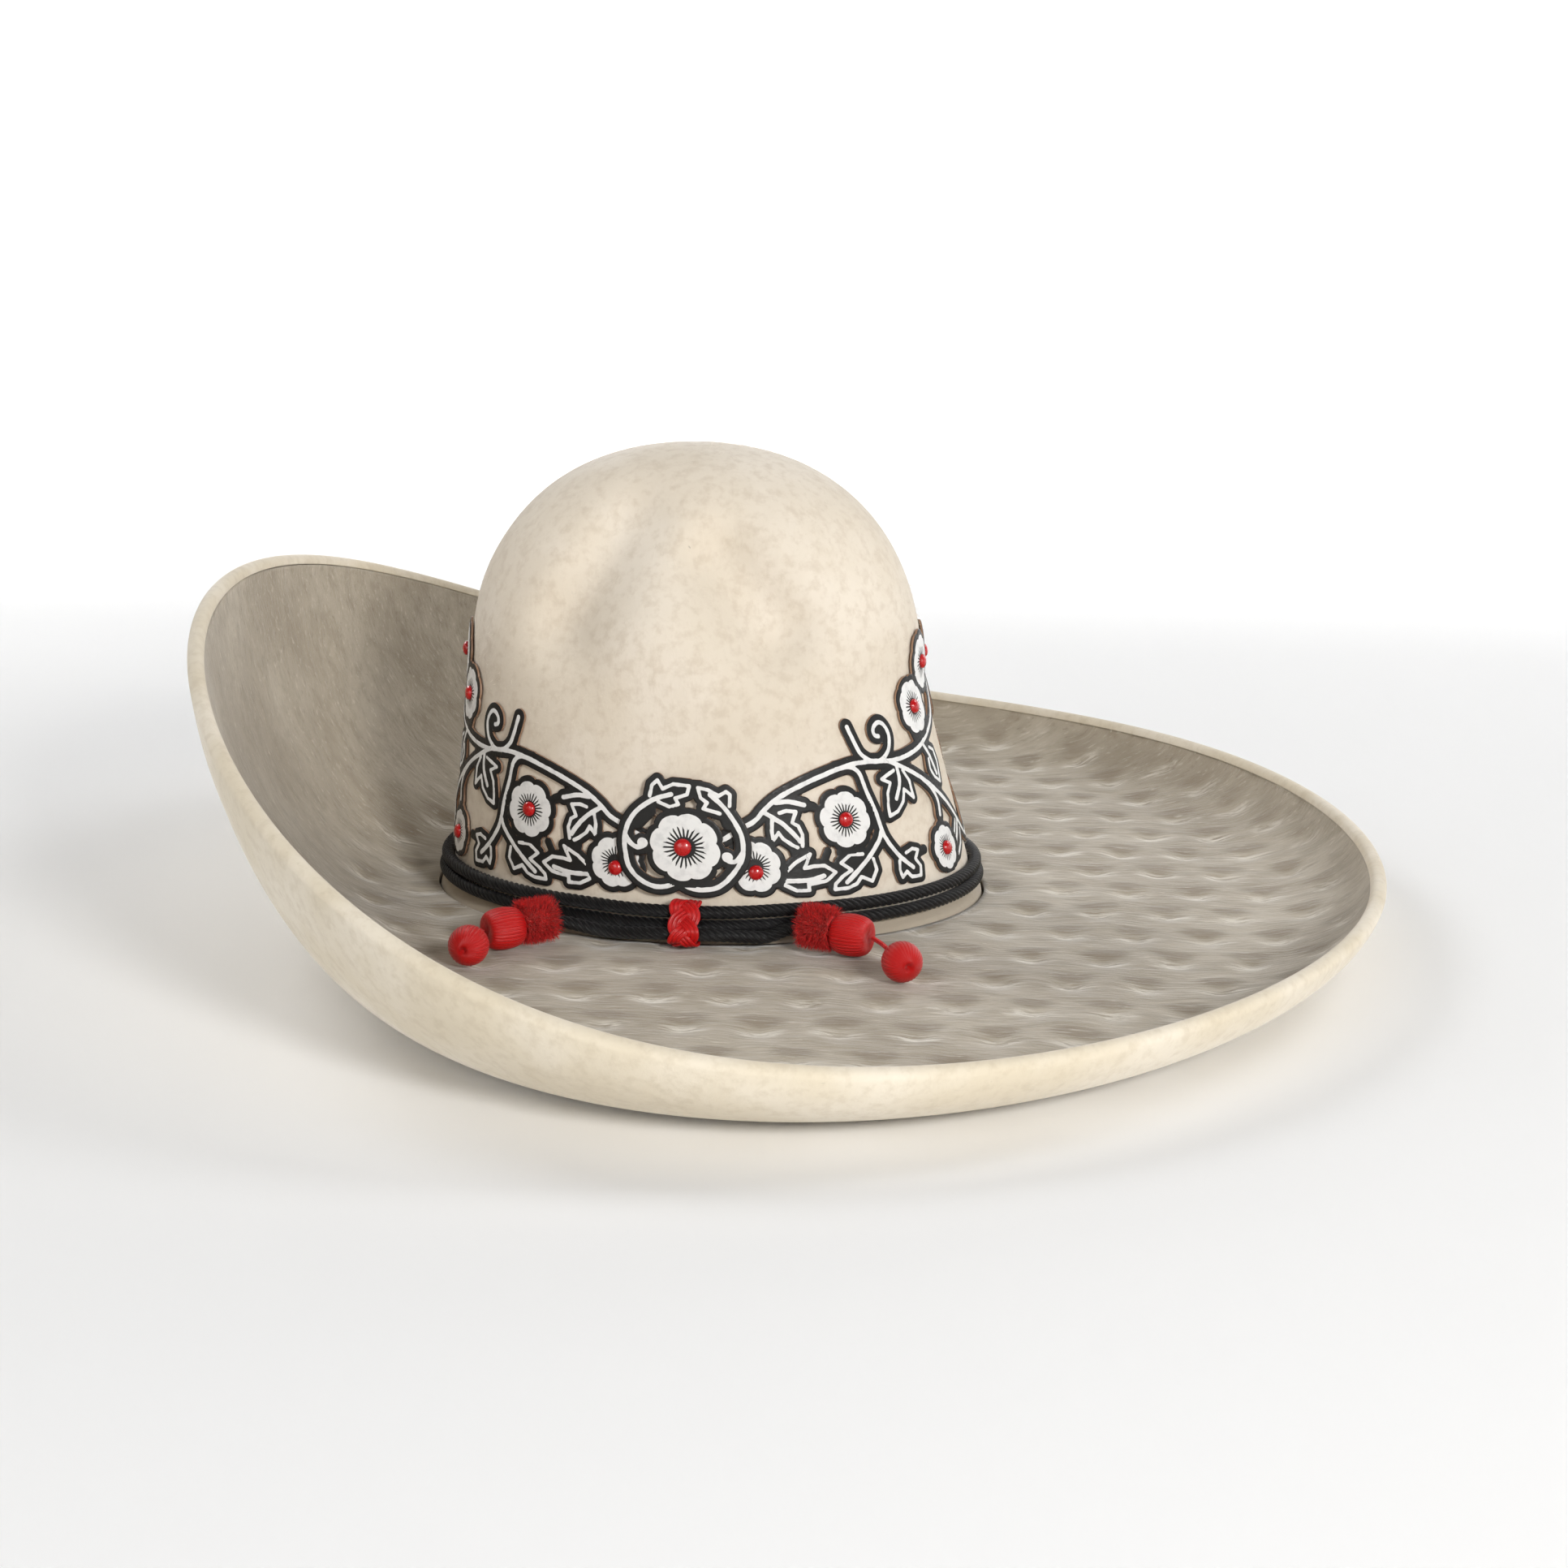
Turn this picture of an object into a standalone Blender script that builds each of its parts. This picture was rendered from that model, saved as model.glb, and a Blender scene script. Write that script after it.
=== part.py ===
"""Wide-brimmed felt sombrero: felt crown and brim, rim wire, leather trim, rope hatband and tassels.

Metres, +Z up, +X towards the front of the hat, origin on the ground under the middle of the brim.
"""
import math

import bmesh
import bpy
from mathutils import Vector

# Fit between pieces that touch
GAP = 0.0003

# Brim: an egg-shaped dish whose edge is highest at the back
RIM_HALF_LENGTH = 0.231
RIM_HALF_WIDTH = 0.3026
RIM_EGG = -0.048
RIM_HEIGHT_WAVES = (0.0567, -0.0452, 0.0228, -0.0057)
BRIM_THICKNESS = 0.006
UNDER_FELT = 0.0015
UNDER_FELT_HOOK = 0.0013
STIFFENER = 0.001
RIM_WIRE_RADIUS = 0.0012
CURL_WIDTH_LOW = 0.052
CURL_WIDTH_GROWTH = 1.1
CURL_LOW_RISE = 0.025
CURL_END_ANGLE = math.radians(80)
FLOOR_MIN_WIDTH = 0.010
FLOOR_RINGS = 2
CURL_RINGS = 7

# Crown: an elliptical wall that tapers to a rounded dome and leans back a little
CROWN_CENTRE_X = -0.0363
CROWN_LEAN = 0.09
CROWN_LEAN_START = 0.017
CROWN_ASPECT = 0.83
SHOULDER_Z = 0.095
SHOULDER_HALF_LENGTH = 0.091
WALL_TAPER = 0.186
DOME_HEIGHT = 0.0905
DOME_POWER = 2.2
FLARE = 0.0035
FLARE_TOP = 0.012
CROWN_FELT = 0.0026
CROWN_BOTTOM = 0.0005
WALL_RINGS = 4
DOME_RINGS = 7

# Crown dents, one pair each side: (x from crown centre, z) at each end of the dent's line
DENTS = (
    ((-0.027, 0.160), (-0.052, 0.122)),
    ((0.007, 0.146), (0.030, 0.121)),
)
DENT_DEPTH = 0.018
DENT_WIDTH = 0.016

SEGMENTS = 48

# Sweatband and its bow
SWEATBAND_HEIGHT = 0.045
SWEATBAND_BOTTOM = 0.002
SWEATBAND_THICKNESS = 0.0012
BOW_WIDTH = 0.026
BOW_HEIGHT = 0.011
BOW_THICKNESS = 0.0016
# The bow's outline, in shares of its width and height
BOW_OUTLINE = ((-0.5, -0.5), (-0.1, -0.2), (0.1, -0.2), (0.5, -0.5),
               (0.5, 0.5), (0.1, 0.2), (-0.1, 0.2), (-0.5, 0.5))

# Leather trim on the crown wall
LEATHER = 0.001
PANEL_BOTTOM = 0.0238
PANEL_HALF_SPAN = 80
PANEL_STEP = 4
PANEL_ROWS = 3
PANEL_TOP = ((0, 0.1135), (8, 0.1140), (15, 0.1040), (22, 0.0990), (29, 0.0790), (38, 0.0790),
             (45, 0.0700), (57, 0.0680), (67, 0.0600), (80, 0.0500))
MEDALLION_HALF_WIDTH = 0.0238
MEDALLION_HALF_HEIGHT = 0.0206
MEDALLION_Z = 0.0445
MEDALLION_SIDES = 28
MEDALLION_MIDDLE = 0.55
# Flower centres: angle from the end of the hat (degrees), height, name
FLOWERS = ((9.0, 0.1020, "top"), (20.2, 0.0867, "upper"), (20.6, 0.0306, "side"),
           (52.7, 0.0497, "main"), (75.1, 0.0320, "tucked"))
STUD_RADIUS = 0.0029
STUD_HEIGHT = 0.0020
STUD_SIDES = 10
# The stud's dome, in shares of its height and radius
STUD_DOME = ((0.0, 1.0), (0.45, 0.86), (0.85, 0.5))
MEDALLION_FLOWER_Z = 0.0417
MEDALLION_STUD_RADIUS = 0.0034

# Rope hatband: two turns, and two tails that leave the slider knot
ROPE_RADIUS = 0.0025
ROPE_PITCH = 2 * ROPE_RADIUS + GAP
ROPE_OFF_WALL = 0.0006
UPPER_TURN_Z = 0.0182
LOWER_TURN_Z = UPPER_TURN_Z - ROPE_PITCH
ROPE_STEPS = 54
KNOT_LIFT = 0.0025
KNOT_LIFT_ANGLE = math.radians(16)
CROSSING_ANGLE = math.radians(26)
CROSSING_OVER = 0.75
ROPE_END_GAP = 0.0004
TAIL_AT_KNOT_Z = 0.0112

# Tails: how far each runs straight past the knot, where it lies beside the rope, how it meets its ruffle
TAIL_APART = 0.0003
TAIL_PAST_KNOT = 0.0125
TAIL_BESIDE_ANGLE = math.radians(15)
TAIL_BESIDE_SHARE = 0.92
TAIL_DROP_AT_RUFFLE = 0.003
TAIL_STRAIGHT_AT_RUFFLE = 0.006

KNOT_WIDTH = 0.0123
KNOT_CLEARANCE = 0.0006
KNOT_WALL = 0.0013
KNOT_BULGE = 0.0004
KNOT_SIDES = 20

# Tassels: (x from crown centre, y) of the ruffle and the ball
TASSELS = {
    "right": {"side": 1, "ruffle": (0.0506, -0.0975), "bead": (0.0641, -0.1030),
              "ball": (0.0830, -0.1330)},
    "left": {"side": -1, "ruffle": (-0.0558, -0.1020), "bead": (-0.0674, -0.1110),
             "ball": (-0.0755, -0.1325)},
}
RUFFLE_RADIUS = 0.0092
RUFFLE_LENGTH = 0.0125
# Outlines along the ruffle and the bead, in shares of the length and the radius
RUFFLE_OUTLINE = ((0.0, 0.55), (0.12, 0.92), (0.35, 0.97), (0.65, 0.97), (0.88, 0.92), (1.0, 0.55))
BEAD_RADIUS = 0.0080
BEAD_LENGTH = 0.0144
BEAD_OUTLINE = ((0.0, 0.5), (0.06, 0.78), (0.25, 0.96), (0.5, 1.0), (0.75, 0.96), (0.94, 0.78),
                (1.0, 0.5))
BALL_RADIUS = 0.0076
BALL_RINGS = 10
TURNED_SIDES = 14
LOOP_RADIUS = 0.0009
LOOP_ARCH = 0.0006
# The room between a loop's end and its ball, so that the ball can lift
BALL_CLEARANCE = 2 * GAP + LOOP_RADIUS

MATERIALS = {
    "crown_felt": ((0.80, 0.73, 0.62), 0.95, 0.0),
    "brim_felt": ((0.62, 0.56, 0.46), 0.95, 0.0),
    "under_felt": ((0.78, 0.71, 0.58), 0.95, 0.0),
    "buckram": ((0.70, 0.66, 0.55), 0.90, 0.0),
    "spring_wire": ((0.45, 0.45, 0.46), 0.35, 1.0),
    "sweat_leather": ((0.36, 0.18, 0.08), 0.55, 0.0),
    "bow_ribbon": ((0.30, 0.15, 0.07), 0.50, 0.0),
    "trim_leather": ((0.03, 0.03, 0.03), 0.45, 0.0),
    "stud_red": ((0.55, 0.01, 0.01), 0.25, 0.0),
    "black_rope": ((0.01, 0.01, 0.012), 0.45, 0.0),
    "red_cord": ((0.70, 0.01, 0.01), 0.40, 0.0),
    "red_chenille": ((0.65, 0.02, 0.02), 0.90, 0.0),
}


def clear_scene():
    for old in list(bpy.data.objects):
        bpy.data.objects.remove(old)


def make_material(name):
    colour, roughness, metallic = MATERIALS[name]
    material = bpy.data.materials.new(name)
    material.use_nodes = True
    shader = material.node_tree.nodes["Principled BSDF"]
    shader.inputs["Base Color"].default_value = (*colour, 1.0)
    shader.inputs["Roughness"].default_value = roughness
    shader.inputs["Metallic"].default_value = metallic
    material.diffuse_color = (*colour, 1.0)
    return material


def add_object(name, data, material, parent=None):
    data.materials.append(make_material(material))
    part = bpy.data.objects.new(name, data)
    bpy.context.scene.collection.objects.link(part)
    if parent:
        part.parent = parent
        part.location = -parent.location
    return part


def add_solid(name, rings, material, closed=False, poles=None, parent=None, turn_back=None):
    """Join rings of points into one body: closed back on itself, or capped by poles or flat ends.

    From the ring turn_back on, faces are split the other way, so that both sides of a sheet match.
    """
    mesh = bmesh.new()
    grid = [[mesh.verts.new(point) for point in ring] for ring in rings]
    count = len(grid[0])
    pairs = list(zip(grid, grid[1:]))
    if closed:
        pairs.append((grid[-1], grid[0]))
    for step, (low, high) in enumerate(pairs):
        for i in range(count):
            j = (i + 1) % count
            if turn_back is None or step < turn_back:
                mesh.faces.new((low[i], low[j], high[j]))
                mesh.faces.new((low[i], high[j], high[i]))
            else:
                mesh.faces.new((low[i], low[j], high[i]))
                mesh.faces.new((low[j], high[j], high[i]))
    if not closed:
        for ring, pole in zip((grid[0], grid[-1]), poles or (None, None)):
            cap_ring(mesh, ring, pole)
    bmesh.ops.recalc_face_normals(mesh, faces=mesh.faces)
    data = bpy.data.meshes.new(name)
    mesh.to_mesh(data)
    mesh.free()
    return add_object(name, data, material, parent)


def cap_ring(mesh, ring, pole):
    if pole is None:
        mesh.faces.new(ring)
        return
    tip = mesh.verts.new(pole)
    for i, vert in enumerate(ring):
        mesh.faces.new((vert, ring[(i + 1) % len(ring)], tip))


def add_tube(name, points, radius, material, closed=False, parent=None):
    """A round cord along a line of points, with filled ends."""
    curve = bpy.data.curves.new(name, "CURVE")
    curve.dimensions = "3D"
    curve.bevel_depth = radius
    curve.bevel_resolution = 2
    curve.use_fill_caps = not closed
    spline = curve.splines.new("POLY")
    spline.points.add(len(points) - 1)
    for slot, point in zip(spline.points, points):
        slot.co = (*point, 1.0)
    spline.use_cyclic_u = closed
    return add_object(name, curve, material, parent)


def angles(count):
    return [2 * math.pi * i / count for i in range(count)]


# ---- Crown surface ----

def crown_centre(z):
    leaning = min(max(z - CROWN_LEAN_START, 0.0), SHOULDER_Z - CROWN_LEAN_START)
    return CROWN_CENTRE_X - CROWN_LEAN * leaning


def wall_half_length(z):
    return SHOULDER_HALF_LENGTH + WALL_TAPER * (SHOULDER_Z - z)


def flare(z):
    return FLARE * min(max((FLARE_TOP - z) / (FLARE_TOP - BRIM_THICKNESS), 0.0), 1.0) ** 2


def wall_point(theta, z, outset=0.0):
    """A point on the crown's outer wall; outset moves it off the felt."""
    half_length = wall_half_length(z) + flare(z) + outset
    half_width = wall_half_length(z) * CROWN_ASPECT + flare(z) + outset
    return Vector((crown_centre(z) + half_length * math.cos(theta), half_width * math.sin(theta), z))


def dent_pull(x, z):
    """How far the felt is pushed in at a place on the side of the crown."""
    pull = 0.0
    for start, end in DENTS:
        a, b, p = Vector(start), Vector(end), Vector((x - CROWN_CENTRE_X, z))
        along = min(max((p - a).dot(b - a) / (b - a).length_squared, 0.0), 1.0)
        distance = (p - a.lerp(b, along)).length
        pull += DENT_DEPTH * math.exp(-((distance / DENT_WIDTH) ** 2))
    return pull


def wall_heights():
    """Ring heights up the crown wall, with close ones where its foot flares out to the brim."""
    foot = [CROWN_BOTTOM, BRIM_THICKNESS, (BRIM_THICKNESS + FLARE_TOP) / 2, FLARE_TOP]
    rise = (SHOULDER_Z - FLARE_TOP) / WALL_RINGS
    return foot + [FLARE_TOP + rise * i for i in range(1, WALL_RINGS + 1)]


def crown_ring(z, turn, inset):
    """One ring of the crown: at a height on the wall, or at a turn from the shoulder to the top."""
    shrink = 1.0
    if turn:
        z = SHOULDER_Z + (DOME_HEIGHT - inset) * math.sin(turn) ** (2 / DOME_POWER)
        shrink = math.cos(turn) ** (2 / DOME_POWER)
    ring = []
    for theta in angles(SEGMENTS):
        base = wall_point(theta, min(z, SHOULDER_Z), -inset)
        x = crown_centre(z) + (base.x - crown_centre(z)) * shrink
        y = base.y * shrink
        y -= math.copysign(dent_pull(x, z) * math.sin(theta) ** 2 * shrink, y)
        ring.append(Vector((x, y, z)))
    return ring


def build_crown():
    levels = [(z, 0.0) for z in wall_heights()]
    levels += [(SHOULDER_Z, math.pi / 2 * i / DOME_RINGS) for i in range(1, DOME_RINGS)]
    rings = [crown_ring(z, turn, CROWN_FELT) for z, turn in reversed(levels)]
    rings += [crown_ring(z, turn, 0.0) for z, turn in levels]
    top_x = crown_centre(SHOULDER_Z)
    top_z = SHOULDER_Z + DOME_HEIGHT
    poles = (Vector((top_x, 0, top_z - CROWN_FELT)), Vector((top_x, 0, top_z)))
    add_solid("crown", rings, "crown_felt", poles=poles, turn_back=len(levels))


# ---- Brim layers ----

def rim_point(theta):
    """The middle of the rolled edge."""
    height = sum(wave * math.cos(i * theta) for i, wave in enumerate(RIM_HEIGHT_WAVES))
    x = RIM_HALF_LENGTH * math.cos(theta)
    y = RIM_HALF_WIDTH * math.sin(theta) * (1 + RIM_EGG * math.cos(theta))
    return Vector((x, y, height - BRIM_THICKNESS / 2))


def brim_middle(theta, step):
    """A point on the middle of the brim's thickness; step counts rings out from the crown."""
    start = wall_point(theta, CROWN_BOTTOM, GAP)
    start.z = BRIM_THICKNESS / 2
    rim = rim_point(theta)
    reach = (rim - start).xy.length
    rise = rim.z - start.z
    curl = min(CURL_WIDTH_LOW + CURL_WIDTH_GROWTH * (rise - CURL_LOW_RISE), reach - FLOOR_MIN_WIDTH)
    if step <= FLOOR_RINGS:
        out, up = (reach - curl) * step / FLOOR_RINGS, 0.0
    else:
        turn = CURL_END_ANGLE * (step - FLOOR_RINGS) / CURL_RINGS
        out = reach - curl + curl * math.sin(turn) / math.sin(CURL_END_ANGLE)
        up = rise * (1 - math.cos(turn)) / (1 - math.cos(CURL_END_ANGLE))
    place = start.xy.lerp(rim.xy, out / reach)
    return Vector((place.x, place.y, start.z + up))


def brim_frame(theta, step):
    """Place, outward tangent and upward normal of the brim's middle surface."""
    small = 1e-3
    last = FLOOR_RINGS + CURL_RINGS
    back = max(step - small, 0.0)
    ahead = min(step + small, last)
    outward = (brim_middle(theta, ahead) - brim_middle(theta, back)).normalized()
    around = brim_middle(theta + small, step) - brim_middle(theta - small, step)
    if step <= FLOOR_RINGS:
        normal = Vector((0, 0, 1))
    else:
        normal = outward.cross(around).normalized()
    return brim_middle(theta, step), outward, normal


def layer_ring(step, offset, pull_back=0.0):
    ring = []
    for theta in angles(SEGMENTS):
        place, outward, normal = brim_frame(theta, step)
        ring.append(place + normal * offset - outward * pull_back)
    return ring


def add_layer(name, low, high, material, end_gap):
    """A sheet of the brim between two offsets from its middle, stopping short of the rolled edge."""
    last = FLOOR_RINGS + CURL_RINGS
    steps = list(range(last + 1))
    rings = [layer_ring(step, low, end_gap if step == last else 0.0) for step in steps]
    rings += [layer_ring(step, high, end_gap if step == last else 0.0) for step in reversed(steps)]
    add_solid(name, rings, material, closed=True, turn_back=last + 1)


def build_brim():
    half = BRIM_THICKNESS / 2
    last = FLOOR_RINGS + CURL_RINGS
    roll_inside = half - UNDER_FELT
    rings = [layer_ring(step, -half) for step in range(last + 1)]
    rings += [roll_ring(half, turn) for turn in (-45, 0, 45)]
    rings += [layer_ring(last, half), layer_ring(last, half, UNDER_FELT_HOOK)]
    rings += [layer_ring(last, roll_inside, UNDER_FELT_HOOK), layer_ring(last, roll_inside)]
    rings += [roll_ring(roll_inside, turn) for turn in (45, 0, -45)]
    rings += [layer_ring(step, -roll_inside) for step in range(last, -1, -1)]
    add_solid("brim_under_felt", rings, "under_felt", closed=True, turn_back=last + 5)
    stiff_low = -roll_inside + GAP
    stiff_high = stiff_low + STIFFENER
    end_gap = UNDER_FELT_HOOK + GAP
    add_layer("brim_stiffener", stiff_low, stiff_high, "buckram", end_gap)
    add_layer("brim_top_felt", stiff_high + GAP, half, "brim_felt", end_gap)
    wire = [rim_point(theta) for theta in angles(SEGMENTS)]
    add_tube("rim_wire", wire, RIM_WIRE_RADIUS, "spring_wire", closed=True)


def roll_ring(radius, turn):
    """A ring on the rolled edge; turn -90 is the underside, 0 the outermost line, 90 the inside."""
    last = FLOOR_RINGS + CURL_RINGS
    out, up = math.cos(math.radians(turn)), math.sin(math.radians(turn))
    ring = []
    for theta in angles(SEGMENTS):
        place, outward, normal = brim_frame(theta, last)
        ring.append(place + (outward * out + normal * up) * radius)
    return ring


# ---- Sweatband ----

def build_sweatband():
    outer = -CROWN_FELT - GAP
    inner = outer - SWEATBAND_THICKNESS
    heights = [SWEATBAND_BOTTOM] + wall_heights()[1:4] + [SWEATBAND_BOTTOM + SWEATBAND_HEIGHT]
    outline = [(outer, z) for z in heights] + [(inner, z) for z in reversed(heights)]
    rings = [[wall_point(theta, z, outset) for theta in angles(SEGMENTS)] for outset, z in outline]
    add_solid("sweatband", rings, "sweat_leather", closed=True, turn_back=len(heights))


def build_bow():
    """A flat bow on the sweatband at the back, wide at its ends and narrow at its knot."""
    z = SWEATBAND_BOTTOM + SWEATBAND_HEIGHT / 2
    depth = -CROWN_FELT - SWEATBAND_THICKNESS - 2 * GAP
    wall = wall_point(math.pi, z + BOW_HEIGHT / 2, depth)
    face = wall.x + 4 * GAP
    rings = []
    for x in (face, face + BOW_THICKNESS):
        rings.append([Vector((x, u * BOW_WIDTH, z + v * BOW_HEIGHT)) for u, v in BOW_OUTLINE])
    add_solid("sweatband_bow", rings, "bow_ribbon")


# ---- Leather trim ----

def panel_top(angle):
    """Height of the trim's scalloped top edge at an angle from the end of the hat."""
    angle = abs(angle)
    for (a0, z0), (a1, z1) in zip(PANEL_TOP, PANEL_TOP[1:]):
        if angle <= a1:
            return z0 + (z1 - z0) * (angle - a0) / (a1 - a0)
    return PANEL_TOP[-1][1]


def wall_shell_point(theta, z, outset):
    """A point off the crown wall, following the dome above the shoulder."""
    if z <= SHOULDER_Z:
        return wall_point(theta, z, outset)
    share = (z - SHOULDER_Z) / DOME_HEIGHT
    shrink = (1 - share ** DOME_POWER) ** (1 / DOME_POWER)
    half_length = SHOULDER_HALF_LENGTH * shrink + outset
    half_width = SHOULDER_HALF_LENGTH * CROWN_ASPECT * shrink + outset
    return Vector((crown_centre(z) + half_length * math.cos(theta), half_width * math.sin(theta), z))


def build_panel(name, middle):
    """One connected leather cut-out that wraps an end of the crown, from medallion to medallion."""
    inner, outer = GAP * 2, GAP * 2 + LEATHER
    count = 2 * PANEL_HALF_SPAN // PANEL_STEP
    rings = []
    for i in range(count + 1):
        angle = -PANEL_HALF_SPAN + i * PANEL_STEP
        theta = math.radians(middle + angle)
        top = panel_top(angle)
        heights = [PANEL_BOTTOM + (top - PANEL_BOTTOM) * row / PANEL_ROWS for row in range(PANEL_ROWS + 1)]
        ring = [wall_shell_point(theta, z, inner) for z in heights]
        ring += [wall_shell_point(theta, z, outer) for z in reversed(heights)]
        rings.append(ring)
    add_solid(name, rings, "trim_leather")


def trim_point(side, along, up, outset):
    """A point on the crown wall, measured from the medallion's centre on one side of the hat."""
    z = MEDALLION_Z + up
    theta = side * math.pi / 2 - side * along / wall_half_length(z)
    return wall_shell_point(theta, z, outset)


def build_medallion(name, side):
    inner = GAP * 4 + LEATHER
    outer = inner + LEATHER
    rings = []
    for outset, share in ((inner, MEDALLION_MIDDLE), (inner, 1.0), (outer, 1.0), (outer, MEDALLION_MIDDLE)):
        half_width, half_height = MEDALLION_HALF_WIDTH * share, MEDALLION_HALF_HEIGHT * share
        rings.append([trim_point(side, half_width * math.sin(t), half_height * math.cos(t), outset)
                      for t in angles(MEDALLION_SIDES)])
    poles = (trim_point(side, 0, 0, inner), trim_point(side, 0, 0, outer))
    add_solid(name, rings, "trim_leather", poles=poles)


def build_stud(name, place, outward, radius):
    """A domed red stud with a flat back."""
    outward = outward.normalized()
    across = Vector((0, 0, 1)).cross(outward).normalized()
    up = outward.cross(across)
    rings = []
    for lift, share in STUD_DOME:
        centre = place + outward * STUD_HEIGHT * lift
        rings.append([centre + (across * math.cos(t) + up * math.sin(t)) * radius * share
                      for t in angles(STUD_SIDES)])
    poles = (place, place + outward * STUD_HEIGHT)
    add_solid(name, rings, "stud_red", poles=poles)


def outward_at(theta, z):
    small = 1e-3
    around = wall_shell_point(theta + small, z, 0) - wall_shell_point(theta - small, z, 0)
    rising = wall_shell_point(theta, z + small, 0) - wall_shell_point(theta, z - small, 0)
    return around.cross(rising)


def build_trim():
    build_panel("vine_panel_front", 0)
    build_panel("vine_panel_back", 180)
    for side, side_name in ((-1, "near"), (1, "far")):
        build_medallion("medallion_" + side_name, side)
        theta = side * math.pi / 2
        lift = LEATHER * 2 + GAP * 6
        place = wall_point(theta, MEDALLION_FLOWER_Z, lift)
        build_stud("stud_" + side_name + "_medallion", place, outward_at(theta, MEDALLION_FLOWER_Z),
                   MEDALLION_STUD_RADIUS)
        for end, end_name in ((1, "front"), (-1, "back")):
            for angle, z, flower in FLOWERS:
                turn = side * math.radians(angle)
                theta = turn if end == 1 else math.pi - turn
                place = wall_shell_point(theta, z, LEATHER + GAP * 7)
                name = "stud_" + "_".join((side_name, end_name, flower))
                build_stud(name, place, outward_at(theta, z), STUD_RADIUS)


# ---- Rope hatband and slider knot ----

def rope_place(theta, z, outset=0.0):
    """The rope's middle against the crown wall, lifted off it where the knot passes behind."""
    from_knot = abs((theta + math.pi / 2 + math.pi) % (2 * math.pi) - math.pi)
    lift = KNOT_LIFT * math.exp(-((from_knot / KNOT_LIFT_ANGLE) ** 4))
    return wall_point(theta, z, ROPE_RADIUS + ROPE_OFF_WALL + lift + outset)


def build_rope():
    """Two turns that swap rows where they cross behind the far side of the crown."""
    points = []
    start = -math.pi / 2
    for i in range(2 * ROPE_STEPS + 1):
        turns = i / ROPE_STEPS
        theta = start + 2 * math.pi * turns
        if i == 0:
            theta += ROPE_END_GAP / SHOULDER_HALF_LENGTH
        if i == 2 * ROPE_STEPS:
            theta -= ROPE_END_GAP / SHOULDER_HALF_LENGTH
        local = 2 * math.pi * (turns % 1.0) - math.pi if i < 2 * ROPE_STEPS else math.pi
        swap = 0.5 + 0.5 * math.sin(math.pi / 2 * min(max(local / CROSSING_ANGLE, -1.0), 1.0))
        first = i < ROPE_STEPS
        high = swap if first else 1.0 - swap
        z = LOWER_TURN_Z + (UPPER_TURN_Z - LOWER_TURN_Z) * high
        over = 0.0 if first else ROPE_PITCH * math.exp(-((local / CROSSING_ANGLE / CROSSING_OVER) ** 4))
        points.append(rope_place(theta, z, over))
    add_tube("hatband_rope", points, ROPE_RADIUS, "black_rope")


def tail_at_knot():
    """Where a tail passes through the knot: beside the lower turn and a little below it."""
    lower = rope_place(-math.pi / 2, LOWER_TURN_Z)
    drop = LOWER_TURN_Z - TAIL_AT_KNOT_Z
    out = math.sqrt((ROPE_PITCH + GAP) ** 2 - drop ** 2)
    return Vector((lower.x, lower.y - out, TAIL_AT_KNOT_Z))


def smooth_line(route, spacing):
    """Points along a smooth curve through the route's own points."""
    line = []
    ends = [2 * route[0] - route[1]] + route + [2 * route[-1] - route[-2]]
    for p0, p1, p2, p3 in zip(ends, ends[1:], ends[2:], ends[3:]):
        steps = max(2, round((p2 - p1).length / spacing))
        for i in range(steps):
            t = i / steps
            line.append(0.5 * (2 * p1 + (p2 - p0) * t + (2 * p0 - 5 * p1 + 4 * p2 - p3) * t ** 2
                               + (3 * p1 - p0 - 3 * p2 + p3) * t ** 3))
    line.append(route[-1])
    return line


def flat_place(pair, z):
    return Vector((CROWN_CENTRE_X + pair[0], pair[1], z))


def build_knot(parent):
    """A sleeve woven round the two turns and the tails."""
    rope_centres = [rope_place(-math.pi / 2, z) for z in (UPPER_TURN_Z, LOWER_TURN_Z)]
    rope_centres.append(tail_at_knot())
    bore = ROPE_RADIUS + KNOT_CLEARANCE
    half = KNOT_WIDTH / 2
    loops = ((-half, bore), (half, bore), (half, bore + KNOT_WALL), (0.0, bore + KNOT_WALL + KNOT_BULGE),
             (-half, bore + KNOT_WALL))
    rings = []
    for x, radius in loops:
        ring = []
        for t in angles(KNOT_SIDES):
            facing = Vector((0, math.cos(t), math.sin(t)))
            farthest = max(rope_centres, key=lambda centre: centre.dot(facing))
            ring.append(Vector((farthest.x + x, farthest.y, farthest.z)) + facing * radius)
        rings.append(ring)
    add_solid("slider_knot", rings, "red_cord", closed=True, parent=parent)


def build_hatband():
    build_rope()
    joint = add_joint("slider_knot_slide", tail_at_knot())
    build_knot(joint)


# ---- Tassels ----

def add_joint(name, place):
    empty = bpy.data.objects.new(name, None)
    empty.location = place
    bpy.context.scene.collection.objects.link(empty)
    return empty


def round_body(name, start, end, outline, radius, material, parent=None):
    """A turned body between two points: the outline gives shares of the length and the radius."""
    axis = (end - start).normalized()
    across = axis.orthogonal().normalized()
    up = axis.cross(across)
    rings = []
    for share, swell in outline:
        centre = start.lerp(end, share)
        rings.append([centre + (across * math.cos(t) + up * math.sin(t)) * radius * swell
                      for t in angles(TURNED_SIDES)])
    add_solid(name, rings, material, poles=(start, end), parent=parent)


def ball_outline():
    turns = [math.pi * (i + 0.5) / BALL_RINGS for i in range(BALL_RINGS)]
    return [(0.5 - 0.5 * math.cos(turn), math.sin(turn)) for turn in turns]


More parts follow.
